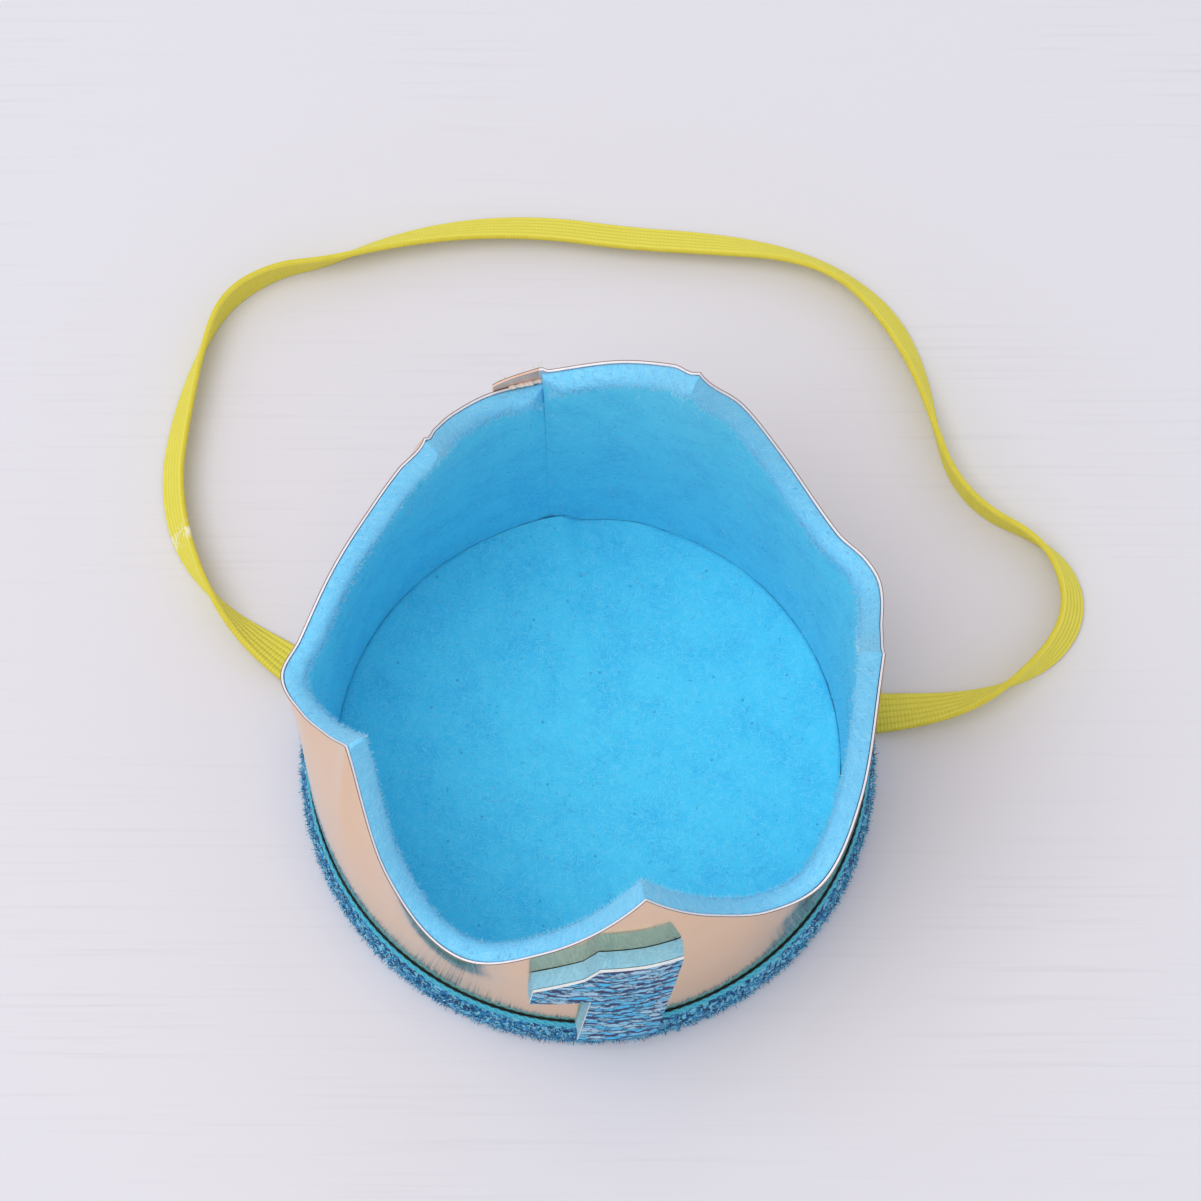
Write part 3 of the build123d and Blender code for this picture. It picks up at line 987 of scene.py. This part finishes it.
def trim_place(column, row):
    gap = degrees_of(TRIM_GAP)
    turn = gap / 2 + (FULL_TURN - gap) * column / TRIM_COLUMNS
    out, height, tone = trim_section[row]
    if tone != PILE_TONE and out > 0:
        lay = 2 * math.pi * (arc_at(turn) / TWIST_PITCH + height / HEADER_CORD * TWIST_SLANT)
        out += TWIST_RELIEF * math.sin(lay)
        height += HEADER_SWAY * waver((arc_at(turn), 0, 0), SWAY_SIZE, seed=2)
    elif out > 0:
        out += GROUND_LUMP * waver((arc_at(turn), height, 0), GROUND_SIZE, seed=8)
    radius = TRIM_RADIUS + lap_rise(turn) + out
    height = max(height, slot_height(turn))
    angle = math.radians(SEAM_AZIMUTH + turn)
    return (radius * math.cos(angle), radius * math.sin(angle), height), (arc_at(turn), height)


bm = shaped_grid(TRIM_COLUMNS, len(trim_section) - 1, trim_place, trim_tones)
close_tube(bm)

# %% Trim ground material
CURL_SIZE = 0.8
FLECK_SIZE = 0.42
FLECK_RELIEF = 0.3
MID_FROM = 0.38
PALE_FROM = 0.72

# Curled strips of metallic film under the pile: small hard flecks of navy, blue and pale glint.
pile_ground, tree, shader = new_material("curled tinsel ground", Metallic=0.5, Roughness=0.45)
uv = add_node(tree, "ShaderNodeUVMap", {}, uv_map="pattern").outputs["UV"]
curl = {"Vector": uv, "Scale": 1 / CURL_SIZE, "Detail": 1.0}
curl = add_node(tree, "ShaderNodeTexNoise", curl).outputs["Color"]
curl = add_node(tree, "ShaderNodeVectorMath", {0: curl, 1: uv}, operation="ADD").outputs[0]
fleck = {"Vector": curl, "Scale": 1 / FLECK_SIZE}
fleck = add_node(tree, "ShaderNodeTexVoronoi", fleck, voronoi_dimensions="2D").outputs
fleck_tone = add_node(tree, "ShaderNodeSeparateColor", {"Color": fleck["Color"]}).outputs[0]
ramp = add_node(tree, "ShaderNodeValToRGB", {"Fac": fleck_tone})
ramp.color_ramp.interpolation = "CONSTANT"
ramp.color_ramp.elements[0].color = linear("154878")
ramp.color_ramp.elements[1].position = MID_FROM
ramp.color_ramp.elements[1].color = linear("2E8CC6")
ramp.color_ramp.elements.new(PALE_FROM).color = linear("7CD0EE")
tree.links.new(ramp.outputs["Color"], shader.inputs["Base Color"])
bump = {"Height": fleck["Distance"], "Strength": 0.8, "Distance": FLECK_RELIEF * MM}
bump = add_node(tree, "ShaderNodeBump", bump).outputs[0]
tree.links.new(bump, shader.inputs["Normal"])
print("flecks in mm:", FLECK_SIZE)

# %% Trim header material
PLY_SLANT = 0.7
PLY_DARK = -1.0
PLY_BRIGHT = -0.2

# Twisted cord has a soft shine, and the darker line where one ply meets the next is painted shade.
header_cord, tree, shader = new_material("turquoise twisted cord", Roughness=0.5)
uv = add_node(tree, "ShaderNodeUVMap", {}, uv_map="pattern").outputs["UV"]
parts = add_node(tree, "ShaderNodeSeparateXYZ", {"Vector": uv}).outputs
ply_shade = {0: parts["Y"], 1: PLY_SLANT, 2: parts["X"]}
ply_shade = add_node(tree, "ShaderNodeMath", ply_shade, operation="MULTIPLY_ADD").outputs[0]
ply_shade = {0: ply_shade, 1: 2 * math.pi / TWIST_PITCH}
ply_shade = add_node(tree, "ShaderNodeMath", ply_shade, operation="MULTIPLY").outputs[0]
ply_shade = add_node(tree, "ShaderNodeMath", {0: ply_shade}, operation="SINE").outputs[0]
ply_shade = {"Value": ply_shade, "From Min": PLY_DARK, "From Max": PLY_BRIGHT}
ply_shade = add_node(tree, "ShaderNodeMapRange", ply_shade).outputs[0]
# The darker turquoise is painted shade where one ply meets the next.
tone = {0: ply_shade, 6: linear("2897B6"), 7: linear("37B0CC")}
tone = add_node(tree, "ShaderNodeMix", tone, data_type="RGBA").outputs[2]
tree.links.new(tone, shader.inputs["Base Color"])
# The woven tape that carries cords and pile shows only as a line against the foil. Its dark tone is
# painted shade, standing in for the shaded gap between the header and the foil.
shade_ledge = mottled("painted shade ledge", "1B323D", "294C59", 0.6, Roughness=0.8)
trim_finishes = [pile_ground, header_cord, shade_ledge]
trim_body = finish_piece("trim_ribbon", bm, trim_finishes, sharp_degrees=60)
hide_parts("base_trim")

# %% [markdown]
# ## Tinsel pile
# The pile is thousands of short strips of metallic film that stand every way. Bump alone leaves the edge
# of the trim smooth, which the real one never is. So strands like the felt's fibres are planted on the
# ground below the header, in four tones, and none of them goes through the table.

# %% Tinsel pile
PILE_STRANDS = 13500
TINSEL_WIDTH = 0.25
TINSEL_TONES = (0, 0, 1, 1, 2, 2, 3, 3)
TINSEL_BENDS = (0.1, 0.5, 0.9)
PILE_CROWDING = 0.75
PILE_START = 0.25
PILE_MARGIN = 0.3
PILE_ROOT = 0.15
PILE_FLARE = 0.5
PILE_RISE = 0.15
PILE_LENGTHS = (0.55, 1.0)
PILE_SHORTENS = 0.3
PILE_DROOP = 0.6

tinsel = [strand(1.0, TINSEL_WIDTH, bend, tone) for tone in TINSEL_TONES for bend in TINSEL_BENDS]
bm = bmesh.new()
for count in range(PILE_STRANDS):
    turn = draw.uniform(0, FULL_TURN)
    share = draw.random() ** PILE_CROWDING
    height = PILE_START + (header_foot - PILE_MARGIN) * share
    height = max(height, slot_height(turn) + PILE_MARGIN)
    angle = math.radians(SEAM_AZIMUTH + turn)
    outwards = Vector((math.cos(angle), math.sin(angle), 0))
    root = outwards * (TRIM_RADIUS + lap_rise(turn) + pile_out(share) - PILE_ROOT) + Vector((0, 0, height))
    direction = outwards * PILE_FLARE + any_way() + Vector((0, 0, PILE_RISE))
    size = draw.uniform(*PILE_LENGTHS) * (1.0 - PILE_SHORTENS * share)
    direction.z = max(direction.z, -PILE_DROOP * height / size)
    plant(bm, tinsel, root, direction, size)
for vert in bm.verts:
    vert.co.z = max(vert.co.z, 0)
# Metallic film strands glint: each tone is a shiny half-metal with a slightly uneven tint.
navy_tinsel = mottled("navy tinsel", "185A8C", "2375AA", 1.0, Metallic=0.8, Roughness=0.35)
blue_tinsel = mottled("blue tinsel", "3498D0", "48AEE0", 1.0, Metallic=0.8, Roughness=0.3)
pale_tinsel = mottled("pale blue tinsel", "B2E6F7", "CEF2FB", 1.0, Metallic=0.7, Roughness=0.3)
cyan_tinsel = mottled("cyan tinsel", "42BFE8", "58D0F0", 1.0, Metallic=0.7, Roughness=0.3)
pile_finishes = [navy_tinsel, blue_tinsel, pale_tinsel, cyan_tinsel]
finish_piece("trim_pile", bm, pile_finishes, sharp_degrees=ALL_SMOOTH)

# %% [markdown]
# ## Figure 1
# The figure is cut from pale felt, with metallic loop cloth on its face, and bent to the wall. It could
# be a text object with a Curve modifier. Here its outline is drawn flat, sliced into small cells so that
# it can bend, given its thickness, and then laid on the wall, because the same rule that shapes the wall
# then keeps the figure at an even distance from the foil.

# %% Figure 1 outline
NUMERAL_TURN = 176.5
NUMERAL_TILT = math.radians(4.3)
NUMERAL_HEIGHT = 46.5
STEM_WIDTH = 11.7
FLAG_REACH = 8.4
FLAG_SHOULDER = 1.8
FLAG_SHOULDER_SHARE = 0.875
FLAG_TIP_HIGH_SHARE = 0.675
FLAG_TIP_LOW_SHARE = 0.49
FLAG_ROOT_SHARE = 0.595
WALL_GUESSES = 4
numeral_foot = TRIM_HEIGHT + STEM_WIDTH / 2 * math.sin(NUMERAL_TILT) + GLUE_LINE


def numeral_outline():
    side = STEM_WIDTH / 2
    tip = side + FLAG_REACH
    return [
        (-side, 0),
        (side, 0),
        (side, NUMERAL_HEIGHT),
        (-side, NUMERAL_HEIGHT),
        (-side - FLAG_SHOULDER, NUMERAL_HEIGHT * FLAG_SHOULDER_SHARE),
        (-tip, NUMERAL_HEIGHT * FLAG_TIP_HIGH_SHARE),
        (-tip, NUMERAL_HEIGHT * FLAG_TIP_LOW_SHARE),
        (-side, NUMERAL_HEIGHT * FLAG_ROOT_SHARE),
    ]


def numeral_point(x, y, out):
    """A point of the flat figure, carried on to the wall at a distance out from the foil."""
    across = x * math.cos(NUMERAL_TILT) + y * math.sin(NUMERAL_TILT)
    height = numeral_foot - x * math.sin(NUMERAL_TILT) + y * math.cos(NUMERAL_TILT)
    ahead = SKIN_RADIUS
    for guess in range(WALL_GUESSES):
        turn = NUMERAL_TURN + math.degrees(math.atan2(across, ahead))
        radius = wall_radius(turn, height) + out
        ahead = math.sqrt(radius**2 - across**2)
    angle = math.radians(SEAM_AZIMUTH + NUMERAL_TURN)
    forwards = Vector((math.cos(angle), math.sin(angle), 0))
    sideways = Vector((-math.sin(angle), math.cos(angle), 0))
    return forwards * ahead + sideways * across + Vector((0, 0, height))


print("corners of the figure:", len(numeral_outline()))

# %% Figure 1 felt
NUMERAL_FELT = 2.4
CELL = 0.8
FELT_RAG = 0.1
WOBBLE_SIZE = 1.3
SIDE_SLANT = 0.7
UPRIGHT = 0.5


def numeral_layer(start, thickness, tones, ragged):
    """One layer of the figure, from a distance out to another; tones are those of its front and sides."""
    bm = bmesh.new()
    bm.faces.new([bm.verts.new((x, y, 0)) for x, y in numeral_outline()])
    reach = STEM_WIDTH / 2 + FLAG_REACH
    cuts = [((cut * CELL - reach, 0, 0), (1, 0, 0)) for cut in range(1, int(2 * reach / CELL))]
    cuts += [((0, cut * CELL, 0), (0, 1, 0)) for cut in range(1, int(NUMERAL_HEIGHT / CELL) + 1)]
    for spot, normal in cuts:
        geometry = bm.verts[:] + bm.edges[:] + bm.faces[:]
        bmesh.ops.bisect_plane(bm, geom=geometry, plane_co=spot, plane_no=normal)
    for face in bm.faces:
        face.material_index = tones[0]
    lower = bm.faces[:]
    steps = max(1, round(thickness / CELL))
    for step in range(steps):
        grown = bmesh.ops.extrude_face_region(bm, geom=lower)["geom"]
        lifted = [item for item in grown if isinstance(item, bmesh.types.BMVert)]
        bmesh.ops.translate(bm, verts=lifted, vec=(0, 0, thickness / steps))
        if step > 0:
            bmesh.ops.delete(bm, geom=lower, context="FACES_ONLY")
        lower = [item for item in grown if isinstance(item, bmesh.types.BMFace)]
    uv_layer = bm.loops.layers.uv.new("pattern")
    for face in bm.faces:
        if abs(face.normal.z) < UPRIGHT:
            face.material_index = tones[1]
        for loop in face.loops:
            spot = loop.vert.co
            loop[uv_layer].uv = (spot.x + SIDE_SLANT * spot.z, spot.y + SIDE_SLANT * spot.z)
    for vert in bm.verts:
        x, y, out = vert.co
        wobble = ragged * waver((x, y, out), WOBBLE_SIZE, seed=12)
        vert.co = numeral_point(x + wobble, y + wobble, start + out) * MM
    return bm


# The figure's felt is the same matt mat of fibres in a greyer, paler blue.
pale_felt = felt_material("pale blue felt", "78B9D6", "8AC7E0", "A3D6E8", "9CD2E6", "B9E0EE")
bm = numeral_layer(GLUE_LINE, NUMERAL_FELT, (0, 0), FELT_RAG)
numeral_back = finish_piece("numeral_felt", bm, [pale_felt], sharp_degrees=50)
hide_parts("numeral_backing")

# %% [markdown]
# ## Cloth on the figure
# The cloth has loops of metallic yarn that stand in wavy rows, pale loops with painted shade between them.
# Loops could be modelled one by one, but at this size only their ragged tops are seen. So the pattern is
# drawn: wavy rows decide where the painted shade of the gaps runs, and torn flecks decide how pale
# each loop is.

# %% Figure 1 cloth rows
ROW_PITCH = 3.0
# Each row is the size of the lumps that sway the rows, and how far they sway them, in mm.
ROW_SWAYS = ((4.0, 3.2), (1.3, 1.6), (0.5, 0.5))

# Loops of metallic yarn look pale and softly bright. The deep navy gaps between them are painted shade
# and hardly shine.
loop_cloth, tree, shader = new_material("metallic loop cloth", Metallic=0.1, Roughness=0.55)
shader.inputs["Specular IOR Level"].default_value = 0.2
uv = add_node(tree, "ShaderNodeUVMap", {}, uv_map="pattern").outputs["UV"]
lay = add_node(tree, "ShaderNodeSeparateXYZ", {"Vector": uv}).outputs["Y"]
for size, swing in ROW_SWAYS:
    sway = {"Vector": uv, "Scale": 1 / size, "Detail": 0.0}
    sway = add_node(tree, "ShaderNodeTexNoise", sway, noise_dimensions="2D").outputs["Fac"]
    sway = {0: sway, 1: swing, 2: lay}
    lay = add_node(tree, "ShaderNodeMath", sway, operation="MULTIPLY_ADD").outputs[0]
lay = {0: lay, 1: 2 * math.pi / ROW_PITCH}
lay = add_node(tree, "ShaderNodeMath", lay, operation="MULTIPLY").outputs[0]
lay = add_node(tree, "ShaderNodeMath", {0: lay}, operation="SINE").outputs[0]
print("rows on the figure:", round(NUMERAL_HEIGHT / ROW_PITCH))

# %% Figure 1 cloth flecks
FLECK_WIDTH = 2.6
FLECK_HEIGHT = 1.7
TEAR_SIZE = 0.7
TEAR_REACH = (1.8, 1.2, 0.0)
GAP_CHANCE = 0.9
GAP_START = 0.9
GAP_END = 1.15
BORDER_EDGE = 0.1
BORDER_CORE = 0.04
BORDER_SHADE = 0.85
LOOP_RELIEF = 0.25

torn = {"Vector": uv, "Scale": 1 / TEAR_SIZE, "Detail": 2.0}
torn = add_node(tree, "ShaderNodeTexNoise", torn, noise_dimensions="2D").outputs["Color"]
torn = {0: torn, 1: TEAR_REACH, 2: uv}
torn = add_node(tree, "ShaderNodeVectorMath", torn, operation="MULTIPLY_ADD").outputs[0]
torn = {"Vector": torn, "Scale": (FLECK_WIDTH, FLECK_HEIGHT, 1.0)}
torn = add_node(tree, "ShaderNodeMapping", torn, vector_type="TEXTURE").outputs[0]
cells = {"Vector": torn, "Scale": 1.0}
fleck = add_node(tree, "ShaderNodeTexVoronoi", cells, voronoi_dimensions="2D").outputs["Color"]
fleck = add_node(tree, "ShaderNodeSeparateColor", {"Color": fleck}).outputs
# Each fleck darkens towards its border: painted shade between neighbouring loops.
to_edge = {"voronoi_dimensions": "2D", "feature": "DISTANCE_TO_EDGE"}
border_shade = add_node(tree, "ShaderNodeTexVoronoi", cells, **to_edge).outputs["Distance"]
border_shade = {"Value": border_shade, "From Min": BORDER_EDGE, "From Max": BORDER_CORE, "To Max": BORDER_SHADE}
border_shade = add_node(tree, "ShaderNodeMapRange", border_shade).outputs[0]
# The gaps between the wavy rows are painted shade.
gap = {0: fleck["Red"], 1: GAP_CHANCE, 2: lay}
gap = add_node(tree, "ShaderNodeMath", gap, operation="MULTIPLY_ADD").outputs[0]
gap = {"Value": gap, "From Min": GAP_START, "From Max": GAP_END}
gap = add_node(tree, "ShaderNodeMapRange", gap).outputs[0]
gap = add_node(tree, "ShaderNodeMath", {0: gap, 1: border_shade}, operation="MAXIMUM").outputs[0]
loop_top = add_node(tree, "ShaderNodeMath", {0: 1.0, 1: gap}, operation="SUBTRACT").outputs[0]
bump = {"Height": loop_top, "Strength": 0.8, "Distance": LOOP_RELIEF * MM}
bump = add_node(tree, "ShaderNodeBump", bump).outputs[0]
tree.links.new(bump, shader.inputs["Normal"])
print("flecks in mm:", FLECK_WIDTH, "by", FLECK_HEIGHT)

# %% Figure 1 face
NUMERAL_FACE = 0.4
CLOTH_RAG = 0.05
DEEP_AT = 0.15
MIDDLE_AT = 0.4
PALE_AT = 0.85

ramp = add_node(tree, "ShaderNodeValToRGB", {"Fac": fleck["Green"]})
ramp.color_ramp.elements[0].position = DEEP_AT
ramp.color_ramp.elements[0].color = linear("3CC0F6")
ramp.color_ramp.elements[1].position = PALE_AT
ramp.color_ramp.elements[1].color = linear("A8D2EC")
ramp.color_ramp.elements.new(MIDDLE_AT).color = linear("6AC6F0")
# The dark navy of the gaps is painted shade.
tone = {0: gap, 6: ramp.outputs["Color"], 7: linear("142A62")}
tone = add_node(tree, "ShaderNodeMix", tone, data_type="RGBA").outputs[2]
tree.links.new(tone, shader.inputs["Base Color"])
# The scrim under the loops is white and matt, and shows only where the cloth is cut.
white_scrim = mottled("white scrim", "E6ECF0", "D6E0E6", 1.2, Roughness=0.8)
face_out = 2 * GLUE_LINE + NUMERAL_FELT
bm = numeral_layer(face_out, NUMERAL_FACE, (0, 1), CLOTH_RAG)
numeral_front = finish_piece("numeral_cloth", bm, [loop_cloth, white_scrim], sharp_degrees=50)
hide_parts("numeral_face")

# %% [markdown]
# ## Fibres on the cut edge of the figure
# The edge of the figure is cut felt, so it is fuzzy like the rim. It could have fibres of its own. Those
# made for the rim are planted again along its outline, because one kind keeps the two felts alike.

# %% Figure 1 fibres
EDGE_FIBRES = 1500
EDGE_FOOT = 1
EDGE_BACK = 0.2
EDGE_AWAY = 0.5
EDGE_STRAY = 0.6
EDGE_LENGTHS = (0.3, 0.7)

corners = numeral_outline()
sides = [(Vector(a), Vector(b)) for a, b in zip(corners, corners[1:] + corners[:1])]
lengths = [(b - a).length for a, b in sides]
middle = NUMERAL_FELT / 2
bm = bmesh.new()
for count in range(EDGE_FIBRES):
    a, b = draw.choices(sides, lengths)[0]
    flat = a.lerp(b, draw.random())
    if flat.y < EDGE_FOOT:
        continue
    root = numeral_point(flat.x, flat.y, draw.uniform(EDGE_BACK, NUMERAL_FELT))
    away = Vector((b.y - a.y, a.x - b.x)).normalized() * EDGE_AWAY + flat
    outwards = numeral_point(away.x, away.y, middle) - numeral_point(flat.x, flat.y, middle)
    direction = outwards + any_way() * EDGE_STRAY
    plant(bm, felt_fibres, root - outwards * FIBRE_ROOT, direction, draw.uniform(*EDGE_LENGTHS))
# These fibres are matt too, and one pale tone serves both kinds of strand.
edge_fibre = mottled("pale fibre of the figure", "A2D1E3", "B2DBE9", 1.2, Roughness=0.9)
finish_piece("numeral_fibres", bm, [edge_fibre, edge_fibre], sharp_degrees=ALL_SMOOTH)

# %% [markdown]
# ## Hot glue at the seam
# The lap of the foil was stuck with hot glue, which set as a milky bead with a few drawn threads. A bead
# could be one swept tube. Flattened balls that run into each other look more like glue from a nozzle, and
# the strands of the fibres serve as its threads.

# %% Hot glue
GLUE_BLOBS = 16
GLUE_START = 0.6
GLUE_TURN = 6.0
GLUE_JITTER = 0.2
BLOB_SIZES = (0.26, 0.42)
BLOB_RISE = 0.25
BLOB_INSET = 0.15
BLOB_SINK = 0.3
BLOB_WIDE = 1.4
BLOB_FLAT = 0.8
THREADS = 16
THREAD_LENGTH = 2.6
THREAD_WIDTH = 0.12
THREAD_BENDS = (0.2, 0.5, 0.8)
THREAD_TURNS = (0.5, 8.0)
THREAD_DROPS = (0.0, 2.0)
THREAD_OUT = 0.5
THREAD_LEAN = Vector((0, 0.5, 0.5))
THREAD_SIZES = (0.4, 1.0)

bm = bmesh.new()
for blob in range(GLUE_BLOBS):
    turn = GLUE_START + GLUE_TURN * blob / GLUE_BLOBS + draw.uniform(-GLUE_JITTER, GLUE_JITTER)
    size = draw.uniform(*BLOB_SIZES)
    height = rim_height(turn) + BLOB_RISE + BLOB_SINK * size
    spot = wall_point(turn, height, BLOB_INSET + BLOB_SINK * size)
    place = Matrix.Translation(spot * MM) @ Matrix.Diagonal((BLOB_WIDE * size, size, BLOB_FLAT * size, 1.0))
    bmesh.ops.create_icosphere(bm, subdivisions=3, radius=1.0 * MM, matrix=place)
glue_threads = [strand(THREAD_LENGTH, THREAD_WIDTH, bend, 0) for bend in THREAD_BENDS]
for thread in range(THREADS):
    turn = draw.uniform(*THREAD_TURNS)
    root = wall_point(turn, SEAM_RIGHT_HEIGHT - draw.uniform(*THREAD_DROPS), -THREAD_OUT)
    direction = any_way() + THREAD_LEAN
    plant(bm, glue_threads, root, direction, draw.uniform(*THREAD_SIZES))
# Set hot glue is milky, smooth and a little glossy.
clear_glue = mottled("clear hot glue", "EFDDD0", "E2CBBB", 1.2, Roughness=0.3, IOR=1.49)
seam_glue = finish_piece("glue_bead", bm, [clear_glue], sharp_degrees=ALL_SMOOTH)
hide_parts("seam_glue")

# %% [markdown]
# ## Table
# The crown stands on a board painted white, with a faint grain under the paint. The board could be an
# image. Noise stretched along the grain does it without one, and a second noise lets the grain come and
# go, so that it never reads as stripes.

# %% Table
GRAIN_LENGTH = 45.0
GRAIN_WIDTH = 0.9
GRAIN_START = 0.55
GRAIN_END = 0.8
PATCHES_PER_METRE = 14.0
PATCH_START = 0.4
PATCH_END = 0.7
TABLE_HALF = 1.5

# Matt paint on wood: almost even, with short grey streaks where the grain shows through.
table_paint, tree, shader = new_material("white painted board", Roughness=0.6)
spot = add_node(tree, "ShaderNodeTexCoord", {}).outputs["Object"]
grain = {"Vector": spot, "Scale": (GRAIN_LENGTH * MM, GRAIN_WIDTH * MM, 1.0)}
grain = add_node(tree, "ShaderNodeMapping", grain, vector_type="TEXTURE").outputs[0]
grain = {"Vector": grain, "Scale": 1.0, "Detail": 2.0}
grain = add_node(tree, "ShaderNodeTexNoise", grain, noise_dimensions="2D").outputs["Fac"]
grain = {"Value": grain, "From Min": GRAIN_START, "From Max": GRAIN_END}
grain = add_node(tree, "ShaderNodeMapRange", grain).outputs[0]
patch = {"Vector": spot, "Scale": PATCHES_PER_METRE, "Detail": 1.0}
patch = add_node(tree, "ShaderNodeTexNoise", patch, noise_dimensions="2D").outputs["Fac"]
patch = {"Value": patch, "From Min": PATCH_START, "From Max": PATCH_END}
patch = add_node(tree, "ShaderNodeMapRange", patch).outputs[0]
grain = add_node(tree, "ShaderNodeMath", {0: grain, 1: patch}, operation="MULTIPLY").outputs[0]
tone = {0: grain, 6: linear("D9D7E0"), 7: linear("D2D0D9")}
tone = add_node(tree, "ShaderNodeMix", tone, data_type="RGBA").outputs[2]
tree.links.new(tone, shader.inputs["Base Color"])
bm = bmesh.new()
bmesh.ops.create_grid(bm, x_segments=1, y_segments=1, size=TABLE_HALF)
mesh = bpy.data.meshes.new("table")
bm.to_mesh(mesh)
bm.free()
mesh.materials.append(table_paint)
table = bpy.data.objects.new("table", mesh)
bpy.context.collection.objects.link(table)
print("table in metres:", 2 * TABLE_HALF)

# %% [markdown]
# ## Light
# The photograph has soft light that comes mostly from the left. A picture of a room could light the
# crown. A plain white world and one large disc lamp give a soft shadow as well, and they keep
# colours about as they are written, so that the crown looks right under other light too.

# %% Light
ROOM_STRENGTH = 0.78
WINDOW_SIZE = 1.1
WINDOW_WATTS = 9.0
WINDOW_PLACE = (-0.5, -0.2, 1.4)
WINDOW_AIM = Vector((0, 0, 0.04))

world = bpy.data.worlds.new("soft room")
bpy.context.scene.world = world
world.use_nodes = True
world.node_tree.nodes["Background"].inputs["Color"].default_value = linear("FFFFFF")
world.node_tree.nodes["Background"].inputs["Strength"].default_value = ROOM_STRENGTH

key_data = bpy.data.lights.new("window", "AREA")
key_data.shape = "DISK"
key_data.size = WINDOW_SIZE
key_data.energy = WINDOW_WATTS
key = bpy.data.objects.new("window", key_data)
key.location = WINDOW_PLACE
key.rotation_euler = (WINDOW_AIM - Vector(key.location)).to_track_quat("-Z", "Y").to_euler()
bpy.context.collection.objects.link(key)
print("lamp in watts:", WINDOW_WATTS, "and room light:", ROOM_STRENGTH)
